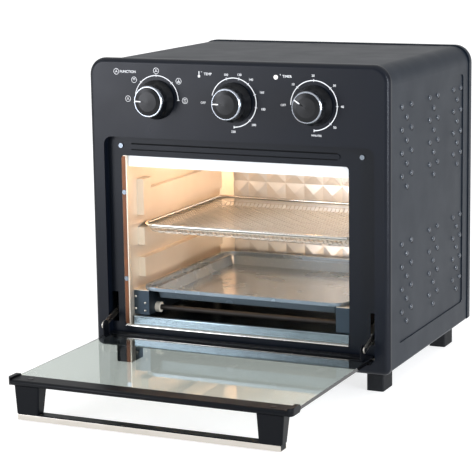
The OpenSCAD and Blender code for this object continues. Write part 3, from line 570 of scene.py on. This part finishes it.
@dataclass
class Shape:
    """Gathers the surfaces of one piece, in millimetres from the front face."""

    points: list[Point] = field(default_factory=list)
    faces: list[Face] = field(default_factory=list)
    marks: list[int] = field(default_factory=list)

    def add(self, points: Sequence[Point], faces: Sequence[Face], mark: int = 0) -> None:
        """Adds a patch of surface.

        Args:
            points: Corners in millimetres.
            faces: Corner numbers of each face, counted within points.
            mark: Number of its finish.
        """
        base = len(self.points)
        self.points.extend(tuple(p) for p in points)
        self.faces.extend(tuple(base + i for i in f) for f in faces)
        self.marks.extend(mark for _ in faces)

    def prism(self, outline: Sequence[Point], along: Point, mark: int = 0) -> None:
        """Adds a closed prism.

        Args:
            outline: Corners of one end.
            along: Vector from that end to the other.
            mark: Number of its finish.
        """
        n = len(outline)
        far = [tuple(p[k] + along[k] for k in range(3)) for p in outline]
        ends = [tuple(range(n))[::-1], tuple(range(n, 2 * n))]
        self.add([*outline, *far], [*ends, *bands(1, n)], mark)

    def tube(self, path: Sequence[Point], radius: float, sides: int) -> None:
        """Adds a closed round bar along a path.

        Args:
            path: Points of its centre line.
            radius: Radius of the bar.
            sides: Facets round it.
        """
        line = [Vector(p) for p in path]
        rings: list[Point] = []
        for i, here in enumerate(line):
            ahead = (line[min(i + 1, len(line) - 1)] - line[max(i - 1, 0)]).normalized()
            across = ahead.cross(Vector((0.0, 0.0, 1.0)))
            upright = across.length < 0.01
            across = Vector((1.0, 0.0, 0.0)) if upright else across.normalized()
            up = across.cross(ahead)
            for k in range(sides):
                a = 2 * pi * (k + 0.5) / sides
                rings.append(tuple(here + radius * (cos(a) * across + sin(a) * up)))
        last = (len(line) - 1) * sides
        ends = [tuple(range(sides))[::-1], tuple(range(last, last + sides))]
        self.add(rings, [*bands(len(line) - 1, sides), *ends])

    def turned(self, profile: Sequence[Spot], centre: Point, out: Point, steps: int) -> None:
        """Adds a surface turned round an axis, such as a screw head or a rivet.

        Args:
            profile: Radius and height pairs, from the rim to the axis.
            centre: Foot of the axis.
            out: Unit vector of the axis.
            steps: Facets round it.
        """
        axis = Vector(out)
        across = axis.orthogonal().normalized()
        up = axis.cross(across)
        points = []
        for radius, height in profile:
            for k in range(steps):
                a = 2 * pi * k / steps
                reach = radius * (cos(a) * across + sin(a) * up)
                points.append(tuple(Vector(centre) + axis * height + reach))
        top = (len(profile) - 1) * steps
        ends = [tuple(range(steps))[::-1], tuple(range(top, top + steps))]
        self.add(points, [*bands(len(profile) - 1, steps), *ends])

    def piece(
        self, name: str, body: str, finishes: Sequence[Finish], smooth: float = 35.0
    ) -> bpy.types.Object:
        """Makes the object, dresses it and lets it ride on its body.

        Args:
            name: Name of the piece.
            body: Name of the body that carries it.
            finishes: One finish for each mark.
            smooth: Largest angle in degrees shaded as a curve.

        Returns:
            The new object.
        """
        mesh = bpy.data.meshes.new(name)
        places = [(x * MM, y * MM + FRONT_Y, z * MM) for x, y, z in self.points]
        mesh.from_pydata(places, [], self.faces)
        for finish in finishes:
            mesh.materials.append(finish.build())
        mesh.polygons.foreach_set("material_index", self.marks)
        mesh.polygons.foreach_set("use_smooth", [True] * len(self.faces))
        mesh.set_sharp_from_angle(angle=radians(smooth))
        mesh.validate()
        made = put(name, mesh)
        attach(made, body)
        LOG.info("%s: %d faces on %s", name, len(self.faces), body)
        return made


def dress(node: str) -> None:
    """Gives a node of the frame its finish and eases its edges.

    Args:
        node: Name of the node.
    """
    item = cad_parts[node]
    for place in item.material_slots:
        place.material = DRESS[node].build()
    LOG.info("%s: dressed in %s", node, DRESS[node].name)
    if node not in EASED:
        return
    weld = item.modifiers.new("weld", "WELD")
    weld.merge_threshold = WELD_GAP * MM
    ease = item.modifiers.new("eased_edges", "BEVEL")
    ease.width = EASED[node] * MM
    ease.segments = 2
    ease.limit_method = "ANGLE"
    ease.angle_limit = EASED_ANGLE
    split = item.modifiers.new("shading", "EDGE_SPLIT")
    split.split_angle = SHARP_ANGLE


# ---------- Sub-assemblies ----------


@dataclass(frozen=True)
class Dial:
    """The printed scale round one knob, its angles clockwise from nine o'clock."""

    x: float
    start: float
    end: float
    labels: dict[str, Spot]
    ticks: Sequence[float]


@dataclass
class ControlPanel:
    """The printed control panel with its three knobs."""

    knob_z: float = 322.7
    pitch: float = 97.0
    arc_r: float = 27.6
    arc_step: float = 4.0
    line_w: float = 1.0
    tick_w: float = 0.8
    tick_reach: Spot = (-1.4, 1.6)
    ink_y: float = -0.02
    ink_half: float = 0.04
    text: float = 4.1
    number_share: float = 0.9
    small_share: float = 0.72
    title_rise: float = 31.0
    symbol_r: float = 3.3
    bar_half: float = 1.8
    blade: float = 1.9
    timer_set: float = 30.0
    pointer_half: float = 0.62
    pointer_foot: float = 22.5
    # Radius and height of the pointer's crest, along the knob's domed face.
    pointer_crest: Sequence[Spot] = ((16.1, 22.62), (15.7, 22.75), (9.5, 23.78), (8.6, 23.74))
    symbols: Sequence[tuple[Symbol, float, float]] = (
        (Symbol.FAN, -37, 0),
        (Symbol.GRILL, -28.5, 22),
        (Symbol.FAN, 0, 33),
        (Symbol.FAN_BAKE, 28.5, 22),
        (Symbol.BAKE, 36, 0),
    )

    def dials(self) -> list[Dial]:
        """Lists the three scales.

        Returns:
            The scales of function, temperature and time.
        """
        warm = {"OFF": (-38, -1.6), "100": (-9, 30.8), "120": (7.4, 31.2), "140": (21.5, 26.2)}
        warm |= {"160": (34.6, 12.4), "180": (36, -6.4), "200": (24.4, -24.4), "230": (-0.9, -33)}
        time = {"OFF": (-36.5, -0.8), "10": (-24.6, 22.6), "20": (-0.7, 32.8), "30": (24.4, 22.6)}
        time |= {"40": (33.6, -0.3), "50": (24.6, -23.4), "MINUTES": (2.8, -33.2)}
        return [
            Dial(-self.pitch, 0, 180, {}, (0, 45, 90, 135, 180)),
            Dial(0, 15, 270, warm, (72, 104, 130, 160, 190, 225, 270)),
            Dial(self.pitch, 0, 270, time, (45, 90, 135, 180, 225, 270)),
        ]

    def spot(self, x: float, angle: float, radius: float) -> Spot:
        """Returns X and Z of a place on a scale, its angle clockwise from nine o'clock."""
        a = radians(180 - angle)
        return (x + radius * cos(a), self.knob_z + radius * sin(a))

    def circle(self, x: float, z: float, radius: float) -> list[Spot]:
        """Returns points on a circle, with the first one again at the end."""
        angles = [radians(12 * i) for i in range(31)]
        return [(x + radius * cos(a), z + radius * sin(a)) for a in angles]

    def ribbon(self, shape: Shape, line: Sequence[Spot], width: float) -> None:
        """Adds an open line of ink.

        Args:
            shape: What takes it.
            line: X and Z of its points.
            width: Width of the line.
        """
        half = width / 2
        points: list[Point] = []
        for (x, z), (nx, nz) in zip(line, sideways(line)):
            for y in (self.ink_y - self.ink_half, self.ink_y + self.ink_half):
                points += [(x + nx * half, y, z + nz * half), (x - nx * half, y, z - nz * half)]
        faces = []
        for a in range(0, 4 * (len(line) - 1), 4):
            b = a + 4
            faces += [(a, a + 1, b + 1, b), (a + 2, b + 2, b + 3, a + 3)]
            faces += [(a, b, b + 2, a + 2), (a + 1, a + 3, b + 3, b + 1)]
        last = 4 * (len(line) - 1)
        caps = [(0, 2, 3, 1), (last, last + 1, last + 3, last + 2)]
        shape.add(points, [*faces, *caps])

    def words(self, shape: Shape, word: str, x: float, z: float, size: float) -> None:
        """Sets a word or number in ink, centred on a place.

        Args:
            shape: What takes it.
            word: What it says.
            x: Place across the panel.
            z: Height of its middle.
            size: Height of the type.
        """
        font = bpy.data.curves.new(word, "FONT")
        font.body = word
        font.size = size
        font.align_x = font.align_y = "CENTER"
        font.extrude = self.ink_half
        font.offset = 0.02
        font.resolution_u = 3
        holder = put(word, font)
        bpy.context.view_layer.update()
        shown = holder.evaluated_get(bpy.context.evaluated_depsgraph_get())
        mesh = bpy.data.meshes.new_from_object(shown)
        points = [(x + v.co.x, self.ink_y - v.co.z, z + v.co.y) for v in mesh.vertices]
        shape.add(points, [tuple(p.vertices) for p in mesh.polygons])
        bpy.data.meshes.remove(mesh)
        bpy.data.objects.remove(holder)
        bpy.data.curves.remove(font)

    def symbol(self, shape: Shape, x: float, z: float, kind: Symbol) -> None:
        """Draws one cooking symbol in a ring.

        Args:
            shape: What takes it.
            x: Place across the panel.
            z: Height of its middle.
            kind: Which symbol.
        """
        bars, fan = kind.value
        self.ribbon(shape, self.circle(x, z, self.symbol_r), 0.45)
        for bar in bars:
            ends = [(x - self.bar_half, z + bar), (x + self.bar_half, z + bar)]
            self.ribbon(shape, ends, 0.5)
        if fan:
            for turn in (90, 210, 330):
                a = radians(turn)
                tip = (x + self.blade * cos(a), z + self.blade * sin(a))
                self.ribbon(shape, [(x, z), tip], 0.6)
        else:
            wave = ((-1.6, -0.3), (-0.5, 0.3), (0.5, -0.3), (1.6, 0.3))
            self.ribbon(shape, [(x + dx, z + dz) for dx, dz in wave], 0.4)

    def legends(self) -> None:
        """Prints the scales, numbers, symbols and words."""
        ink = Shape()
        for dial in self.dials():
            steps = int((dial.end - dial.start) / self.arc_step)
            angles = [dial.start + (dial.end - dial.start) * i / steps for i in range(steps + 1)]
            self.ribbon(ink, [self.spot(dial.x, a, self.arc_r) for a in angles], self.line_w)
            for tick in dial.ticks:
                ends = [self.spot(dial.x, tick, self.arc_r + d) for d in self.tick_reach]
                self.ribbon(ink, ends, self.tick_w)
            for word, (dx, dz) in dial.labels.items():
                share = self.small_share if word == "MINUTES" else self.number_share
                self.words(ink, word, dial.x + dx, self.knob_z + dz, self.text * share)
        for kind, dx, dz in self.symbols:
            self.symbol(ink, -self.pitch + dx, self.knob_z + dz, kind)
        row = self.knob_z + self.title_rise
        self.symbol(ink, -148.4, row, Symbol.FAN)
        for word, x in (("FUNCTION", -133.4), ("TEMP", -31.6), ("TIMER", 65.4)):
            self.words(ink, word, x, row, self.text)
        # A small thermometer before TEMP, and the tick of a clock before TIMER.
        self.ribbon(ink, [(-42.6, row + 3), (-42.6, row - 1.4)], 0.9)
        self.ribbon(ink, self.circle(-42.6, row - 2.6, 0.8), 1.5)
        self.ribbon(ink, [(-39.9, row + 2.4), (-38.9, row + 2.4)], 0.5)
        self.ribbon(ink, [(57, row + 2.6), (57.6, row + 1.2)], 0.5)
        ink.piece("panel_legends", "housing", [SCREEN_INK])

    def pointer(self, kind: str, x: float, angle: float) -> None:
        """Lays the white line into a knob's face.

        Args:
            kind: Which knob.
            x: Place of the knob's axis.
            angle: Where it points, clockwise from nine o'clock.
        """
        a = radians(180 - angle)
        across, up = cos(a), sin(a)
        half, foot = self.pointer_half, self.pointer_foot
        points: list[Point] = []
        for r, crest in self.pointer_crest:
            section = ((-half, crest), (half, crest), (half * 0.9, foot), (-half * 0.9, foot))
            for w, y in section:
                points.append((x + r * across - w * up, -y, self.knob_z + r * up + w * across))
        line = Shape()
        line.add(points, [*bands(3, 4), (3, 2, 1, 0), (12, 13, 14, 15)])
        line.piece(f"{kind}_pointer", f"{kind}_control", [SCREEN_INK])

    def build(self) -> None:
        """Prints the panel and lays a line into each knob."""
        self.legends()
        for kind, x, angle in zip(KNOBS, (-self.pitch, 0, self.pitch), (0, 0, self.timer_set)):
            self.pointer(kind, x, angle)


@dataclass
class SidePanels:
    """The pressed side panels with their hooded louvres."""

    face_x: float = 179.8
    radius: float = 3.2
    height: float = 1.9
    sunk: float = 0.02
    # Share of the radius and of the height, from the rim inwards.
    dome: Sequence[Spot] = ((1.0, 0.0), (0.82, 0.58), (0.48, 0.88))
    mouth_rise: float = 0.36
    mouth_turn: float = 80.0
    mouth_shade_x: float = 0.25
    mouth_shade_y: float = 2.7
    mouth_shade_z: float = -1.5
    columns: Sequence[Point] = ((54.5, 70.5, 86), (149, 163.5, 178), (237, 251, 264))
    group_tops: Spot = (318.3, 163.3)
    pitch: float = 26.0
    stagger: float = 13.0
    per_column: int = 4
    steps: int = 14
    case_half: float = 181.0
    case_top: float = 366.0
    case_low: float = 26.0
    bend: float = 21.0
    joint_y: Spot = (10.0, 11.5)
    shadow_gap_in: float = 0.2
    shadow_gap_out: float = 0.35

    def rows(self) -> list[tuple[int, float]]:
        """Lists the louvres of one group.

        Returns:
            Column number and height of each.
        """
        rows = []
        for top in self.group_tops:
            heights = [top - i * self.pitch for i in range(self.per_column)]
            rows += [(c, z) for z in heights for c in (0, 2)]
            rows += [(1, z - self.stagger) for z in heights]
        return rows

    def louvre(self, shape: Shape, side: Side, y: float, z: float) -> None:
        """Adds one hooded louvre, and a dark disc beside it: painted shade of the louvre's mouth.

        Args:
            shape: What takes it.
            side: Side of the case.
            y: Its depth.
            z: Its height.
        """
        turns = [2 * pi * k / self.steps for k in range(self.steps)]
        foot = self.face_x - self.sunk
        points: list[Point] = []
        for share, lift in self.dome:
            reach = self.radius * share
            for a in turns:
                mouth = max(cos(a + radians(self.mouth_turn)), 0.0) ** 2
                rise = self.mouth_rise * mouth if lift == 0.0 else lift
                out = side.value * (foot + self.height * rise)
                points.append((out, y + reach * cos(a), z + reach * sin(a)))
        tip = len(points)
        points.append((side.value * (foot + self.height), y, z))
        faces = bands(len(self.dome) - 1, self.steps)
        inner = tip - self.steps
        faces += [(inner + k, inner + (k + 1) % self.steps, tip) for k in range(self.steps)]
        shape.add(points, faces if side is Side.RIGHT else [f[::-1] for f in faces])
        # The dead-black disc, a little proud of the panel below and behind the dome, is painted
        # shade of the mouth.
        x, y, z = side.value * (self.face_x + self.mouth_shade_x), y + self.mouth_shade_y, z + self.mouth_shade_z
        mouth_shade = [(x, y + self.radius * cos(a), z + self.radius * sin(a)) for a in turns]
        inward = (-side.value * 2 * self.mouth_shade_x, 0, 0)
        shape.prism(mouth_shade if side is Side.LEFT else mouth_shade[::-1], inward, 1)

    def shadow_gap(self) -> None:
        """Lays a dark band between the front frame and the shell: painted shadow of the frame's
        step.
        """
        half, top, bend = self.case_half, self.case_top, self.bend
        outline = [(half, self.case_low)]
        for k in range(13):
            a = radians(7.5 * k)
            outline.append((half - bend + bend * cos(a), top - bend + bend * sin(a)))
        outline += [(-x, z) for x, z in outline[::-1]]
        front, back = self.joint_y
        low, high = -self.shadow_gap_in, self.shadow_gap_out
        section = ((low, front), (high, front), (high, back), (low, back))
        points: list[Point] = []
        for (x, z), (nx, nz) in zip(outline, sideways(outline)):
            points += [(x + d * nx, y, z + d * nz) for d, y in section]
        last = 4 * (len(outline) - 1)
        ends = [(3, 2, 1, 0), (last, last + 1, last + 2, last + 3)]
        ring = Shape()
        ring.add(points, [*bands(len(outline) - 1, 4), *ends])
        ring.piece("frame_shadow_gap", "housing", [DEAD_BLACK_AND_SHADE], 30)

    def build(self) -> None:
        """Presses the louvres into both sides."""
        # The dark band behind the frame is a painted shadow.
        self.shadow_gap()
        for side in Side:
            shape = Shape()
            for group in self.columns:
                for column, z in self.rows():
                    self.louvre(shape, side, group[column], z)
            name = f"side_louvres_{side.name.lower()}"
            # The domes carry a painted highlight; the dark discs beside them are painted shade.
            shape.piece(name, "housing", [DOME_HIGHLIGHT_COAT, DEAD_BLACK_AND_SHADE], 50)


@dataclass
class Cavity:
    """The lined cooking space behind the face plate."""

    left: float = -143.5
    right: float = 137.5
    rear: float = 270.0
    floor: float = 52.8
    ceiling: float = 280.0
    baffle: float = 257.0
    pitch: float = 26.0
    rise: float = 1.3
    sheet: float = 0.6
    first_z: float = 84.0
    side_margin: float = 12.0
    top_margin: float = 4.0
    flat: float = 1.6
    step: float = 0.2
    # Distance from the side wall, and depth, of the rear corner strips' section.
    strip: Sequence[Spot] = (
        *((0.05, 259.0), (1.4, 259.6), (3.0, 260.8)),
        *((14.2, 267.9), (16.0, 269.95), (0.05, 269.95)),
    )
    strip_low: float = 66.0
    ledge_low: float = 64.0
    ledge_top: float = 92.9
    ledge_front: float = 20.0
    ledge_back: float = 248.0
    ledge_w: float = 19.5
    right_step: float = 3.8
    plate: float = 0.35
    hem_r: float = 0.8
    hem_heights: Sequence[float] = (54.4, 54.9, 100, 200, 254.2, 254.7)
    sill_r: float = 1.35
    sill_run: Sequence[float] = (-149.6, -149.2, 0, 132.3, 132.7)
    rivet: Sequence[Spot] = ((1.5, -0.1), (1.5, 0.25), (1.1, 0.7), (0.5, 0.95), (0.01, 1.0))
    rivets: Sequence[Spot] = ((-141.3, 85.5), (-141.3, 70.8), (-128.9, 78.0), (-128.9, 68.8))

    def rear_wall(self) -> None:
        """Embosses the rear wall with rows of low pyramids."""
        wall = Shape()
        columns = int((self.right - self.left - self.side_margin) // self.pitch)
        rows = int((self.baffle - self.top_margin - self.first_z) // self.pitch)
        first_x = (self.left + self.right - columns * self.pitch) / 2
        xs = [self.left, *[first_x + i * self.pitch for i in range(columns + 1)], self.right]
        zs = [self.floor, *[self.first_z + i * self.pitch for i in range(rows + 1)], self.ceiling]
        rim = [(k, (k + 1) % 4, 4 + (k + 1) % 4, 4 + k) for k in range(4)]
        slopes = [(4 + k, 4 + (k + 1) % 4, 8) for k in range(4)]
        for i, (a, b) in enumerate(zip(xs, xs[1:])):
            for j, (c, d) in enumerate(zip(zs, zs[1:])):
                corners = [(x, self.rear, z) for x, z in ((a, c), (b, c), (b, d), (a, d))]
                if not (0 < i < len(xs) - 2 and 0 < j < len(zs) - 2):
                    wall.add(corners, [(0, 1, 2, 3)])
                    continue
                low, high, base, top = a + self.flat, b - self.flat, c + self.flat, d - self.flat
                square = ((low, base), (high, base), (high, top), (low, top))
                foot = [(x, self.rear - self.step, z) for x, z in square]
                tip = ((a + b) / 2, self.rear - self.rise, (c + d) / 2)
                wall.add([*corners, *foot, tip], [*rim, *slopes])
        square = [(xs[0], zs[0]), (xs[-1], zs[0]), (xs[-1], zs[-1]), (xs[0], zs[-1])]
        points = [(x, y, z) for y in (self.rear, self.rear + self.sheet) for x, z in square]
        sides = [((k + 1) % 4, k, 4 + k, 4 + (k + 1) % 4) for k in range(4)]
        wall.add(points, [*sides, (7, 6, 5, 4)])
        made = wall.piece("embossed_rear_wall", "housing", [EMBOSSED_SHEET], 4)
        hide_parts("cavity_rear_wall")

    def corners(self) -> None:
        """Folds a bright cover strip into each rear corner."""
        for side, x in ((Side.LEFT, self.left), (Side.RIGHT, self.right)):
            cover = Shape()
            points = [(x - side.value * dx, y, self.strip_low) for dx, y in self.strip]
            tall = (0, 0, self.baffle - self.strip_low - 1)
            cover.prism(points if side is Side.RIGHT else points[::-1], tall)
            name = f"rear_corner_strip_{side.name.lower()}"
            cover.piece(name, "housing", [ALUMINISED], 20)

    def ledges(self) -> None:
        """Covers both lower ledges with dark plates of painted shade, open to the middle."""
        front, back, plate = self.ledge_front, self.ledge_back, self.plate
        for side, outer, wide in (
            (Side.LEFT, self.left, self.ledge_w),
            (Side.RIGHT, self.right, self.ledge_w + self.right_step),
        ):
            inward = -side.value
            edge = outer + inward * wide
            face = edge + inward * plate
            outline = [(outer, front), (outer, front - plate), (face, front - plate)]
            outline += [(face, back), (edge, back), (edge, front)]
            points = [(x, y, self.ledge_low) for x, y in outline]
            tall = (0, 0, self.ledge_top - self.ledge_low)
            cover = Shape()
            cover.prism(points if side is Side.LEFT else points[::-1], tall)
            cover.piece(f"ledge_plate_{side.name.lower()}", "housing", [LEDGE_SHADE_STEEL], 20)

    def edges(self) -> None:
        """Faces the left flange, lays the sill's bead and rolls the left wall's hem."""
        a, b, low = -150.2, self.left - 1.7, 54.0
        # A thin sheet over the flange: painted shade in brown, with a painted warm reflection.
        facing = Shape()
        outline = [(a, 10.5, low), (b, 10.5, low), (b, 10.3, low), (a, 10.3, low)]
        facing.prism(outline, (0, 0, 200))
        facing.piece("left_flange_painted_shade", "housing", [FLANGE_SHADE_STEEL], 20)
        sill = Shape()
        sill.tube([(x, 10.5, 51.6) for x in self.sill_run], self.sill_r, 10)
        sill.piece("sill_bead", "housing", [CHROME_WIRE], 50)
        a, b, low = -144, 128, 259.6
        duct = Shape()
        outline = [(a, 12.6, low), (b, 12.6, low), (b, 12.1, low), (a, 12.1, low)]
        duct.prism(outline, (0, 0, 14))
        duct.piece("bridge_louvre_duct", "housing", [DEAD_BLACK_AND_SHADE], 20)
        hem = Shape()
        hem.tube([(self.left - 0.75, 10.0, z) for z in self.hem_heights], self.hem_r, 8)
        hem.piece("left_wall_hem", "housing", [ALUMINISED], 50)

    def ledge_rivets(self) -> None:
        """Sets the rivets on the left ledge's front."""
        heads = Shape()
        for x, z in self.rivets:
            heads.turned(self.rivet, (x, self.ledge_front - 0.4, z), (0, -1, 0), 12)
        heads.piece("ledge_rivets", "housing", [ZINC_PLATE], 60)

    def build(self) -> None:
        """Makes the cavity's visible details."""
        self.rear_wall()
        self.corners()
        self.ledges()
        self.edges()
        self.ledge_rivets()


@dataclass
class MeshBasket:
    """The woven part of the basket, hung from its wire frame.

    The real cloth has about 3 mm between its wires; it is drawn coarser so that it shows.
    """

    middle_x: float = -4.9
    half_w: float = 137.1
    front: float = 35.0
    depth: float = 220.0
    bend: float = 18.0
    rim_z: float = 166.65
    half_pan: float = 128.6
    inset: float = 3.0
    slope: float = 6.0
    drop: float = 7.6
    pitch: float = 5.6
    edge: float = 1.6
    wire_r: float = 0.5

    def height(self, x: float, y: float) -> float:
        """Returns how far the cloth hangs below the rim, X from its middle, Y from its front."""
        room = min(self.half_pan - abs(x), y - self.inset, self.depth - self.inset - y)
        return self.drop * min(max(room / self.slope, 0.0), 1.0)

    def inside(self, x: float, y: float) -> bool:
        """Returns whether a place lies within the rim and its two bent front corners."""
        past = max(abs(x) - self.half_w + self.bend, 0.0)
        return y > self.bend or hypot(past, self.bend - y) < self.bend - 1

    def knot(self, x: float, y: float, over: bool) -> Point:
        """Returns where a wire crosses another, over or under it."""
        lift = self.wire_r * (0.9 if over else -0.9)
        return (self.middle_x + x, self.front + y, self.rim_z - self.height(x, y) + lift)

    def build(self) -> None:
        """Weaves the cloth in plain weave and follows the pan's shape."""
        cloth = Shape()
        half = int(self.half_w // self.pitch)
        wide = [i * self.pitch for i in range(-half, half + 1)]
        rows = int((self.depth - 2 * self.edge) // self.pitch) + 1
        deep = [self.edge + j * self.pitch for j in range(rows)]
        runs = [[(i, x, j, y) for j, y in enumerate(deep)] for i, x in enumerate(wide)]
        crossing = [[(i, x, j, y) for i, x in enumerate(wide)] for j, y in enumerate(deep)]
        for wires, odd_over in ((runs, True), (crossing, False)):
            for wire in wires:
                held = [(x, y, bool((i + j) % 2)) for i, x, j, y in wire if self.inside(x, y)]
                path = [self.knot(x, y, odd is odd_over) for x, y, odd in held]
                cloth.tube(path, self.wire_r, 4)
        made = cloth.piece("woven_basket", "basket", [WOVEN_WIRE], 80)
        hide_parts("basket_mesh")


@dataclass
class RearCover:
    """The cross-head screws that hold the rear cover."""

    face_y: float = 300.0
    # Radius and height of the head, from its rim to its crown.
    head: Sequence[Spot] = ((3.4, -0.1), (3.4, 0.7), (2.72, 1.4), (1.36, 1.7))
    cut: Spot = (1.5, 0.35)
    cut_y: float = 1.72
    columns: Spot = (-170, 170)
    rows: Point = (340, 190, 36)

    def build(self) -> None:
        """Sets a cross-head screw at each spot."""
        screws = Shape()
        y = self.face_y + self.cut_y
        for x, z in ((x, z) for z in self.rows for x in self.columns):
            screws.turned(self.head, (x, self.face_y, z), (0, 1, 0), 18)
            # A thin dead-black cross on each crown: painted shade of the cross recess.
            for dx, dz in (self.cut, self.cut[::-1]):
                corners = ((-dx, -dz), (dx, -dz), (dx, dz), (-dx, dz))
                slot = [(x + a, y, z + b) for a, b in corners]
                screws.prism(slot[::-1], (0, 0.03, 0), 1)
        screws.piece("rear_cover_screws", "housing", [ZINC_PLATE, DEAD_BLACK_AND_SHADE])


@dataclass(frozen=True)
class Softbox:
    """A soft rectangular lamp: sizes in metres, power in watts."""

    name: str
    place: Point
    aim: Point
    size: Spot
    power: float
    colour: str

    def hang(self) -> None:
        """Hangs the lamp where it belongs."""
        data = bpy.data.lights.new(self.name, "AREA")
        data.shape = "RECTANGLE"
        data.size, data.size_y = self.size
        data.energy = self.power
        data.color = linear(self.colour)[:3]
        made = put(self.name, data)
        made.location = self.place
        way = Vector(self.aim) - Vector(self.place)
        made.rotation_euler = way.to_track_quat("-Z", "Y").to_euler()


@dataclass
class Studio:
    """A pale floor, soft lamps and the camera."""

    lens: float = 135.053
    sensor: float = 36.0
    shift: Spot = (-0.02964, -0.03029)
    place: Point = (843.94, -1801.80, 548.52)
    turn: Point = (1.38998, 0.01382, 0.42611)
    sky_power: float = 1.9
    sky_angle: float = 120.0
    reach: float = 40.0
    floor_z: float = -0.0004
    low_white: float = 1.04
    high_white: float = 0.42
    fade_to: float = 0.45
    lamps: Sequence[Softbox] = (
        Softbox("key_softbox", (-1.25, -1.7, 0.42), (-0.1, 0, 0.25), (0.8, 1.2), 25, "#f4f6ff"),
        Softbox("strip_softbox", (1.55, -0.75, 0.45), (0.18, 0, 0.25), (0.2, 1.1), 25, "#eef4ff"),
        Softbox("oven_lamp", (0.06, 0.07, 0.252), (-0.14, 0.13, 0.12), (0.1, 0.1), 0.95, "#ffbe84"),
        Softbox("oven_lamp_rear", (0, 0.05, 0.25), (0, 0.25, 0.17), (0.2, 0.05), 0.3, "#fffaf2"),
        Softbox("oven_glow", (0, 0, 0.088), (0, 0.14, 0.055), (0.2, 0.02), 0.12, "#ffd9b0"),
    )

    def camera(self) -> None:
        """Sets the camera, its place in millimetres from the case's front face."""
        data = bpy.data.cameras.new("camera")
        data.lens = self.lens
        data.sensor_width = self.sensor
        data.shift_x, data.shift_y = self.shift
        data.clip_end = 100.0
        made = put("camera", data)
        x, y, z = self.place
        made.location = (x * MM, y * MM + FRONT_Y, z * MM)
        made.rotation_euler = Euler(self.turn, "XYZ")
        bpy.context.scene.camera = made

    def floor(self) -> None:
        """Lays the floor, a wide sheet of matt pale paper."""
        mesh = bpy.data.meshes.new("studio_floor")
        far = self.reach
        corners = [(-far, -far, 0), (far, -far, 0), (far, far, 0), (-far, far, 0)]
        mesh.from_pydata(corners, [], [(0, 1, 2, 3)])
        mesh.materials.append(STUDIO_PAPER.build())
        made = put("studio_floor", mesh)
        made.location.z = self.floor_z
        made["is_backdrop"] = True

    def surround(self) -> None:
        """Wraps the stage in soft white that is brightest near the floor's edge."""
        world = bpy.data.worlds.new("studio")
        world.use_nodes = True
        tree = world.node_tree
        way = add_node(tree, "ShaderNodeTexCoord").outputs["Generated"]
        fade = {
            "Value": add_node(tree, "ShaderNodeSeparateXYZ", {"Vector": way}).outputs["Z"],
            "From Max": self.fade_to,
            "To Min": self.low_white,
            "To Max": self.high_white,
        }
        white = add_node(tree, "ShaderNodeMapRange", fade).outputs["Result"]
        tree.nodes["Background"].inputs["Color"].default_value = WHITE
        tree.links.new(white, tree.nodes["Background"].inputs["Strength"])
        bpy.context.scene.world = world

    def overhead(self) -> None:
        """Hangs a very wide soft light straight above, which whitens the floor."""
        data = bpy.data.lights.new("overhead", "SUN")
        data.angle = radians(self.sky_angle)
        data.energy = self.sky_power
        put("overhead", data)

    def build(self) -> None:
        """Sets the whole stage."""
        self.camera()
        self.floor()
        self.surround()
        bpy.context.scene.view_settings.view_transform = "Standard"
        self.overhead()
        for lamp in self.lamps:
            lamp.hang()


def main() -> None:
    """Builds the scene's sub-assemblies in order."""
    logging.basicConfig(level=logging.INFO, format="%(name)s %(message)s")
    Studio().build()
    for part in (ControlPanel(), SidePanels(), Cavity(), MeshBasket(), RearCover()):
        part.build()
    for node in DRESS:
        dress(node)
    boxes = {"cad": CAD_BOX, "visual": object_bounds()}
    for name, box in boxes.items():
        LOG.info("%s box: %s", name, [[round(v, 4) for v in corner] for corner in box])


if __name__ == "__main__":
    main()
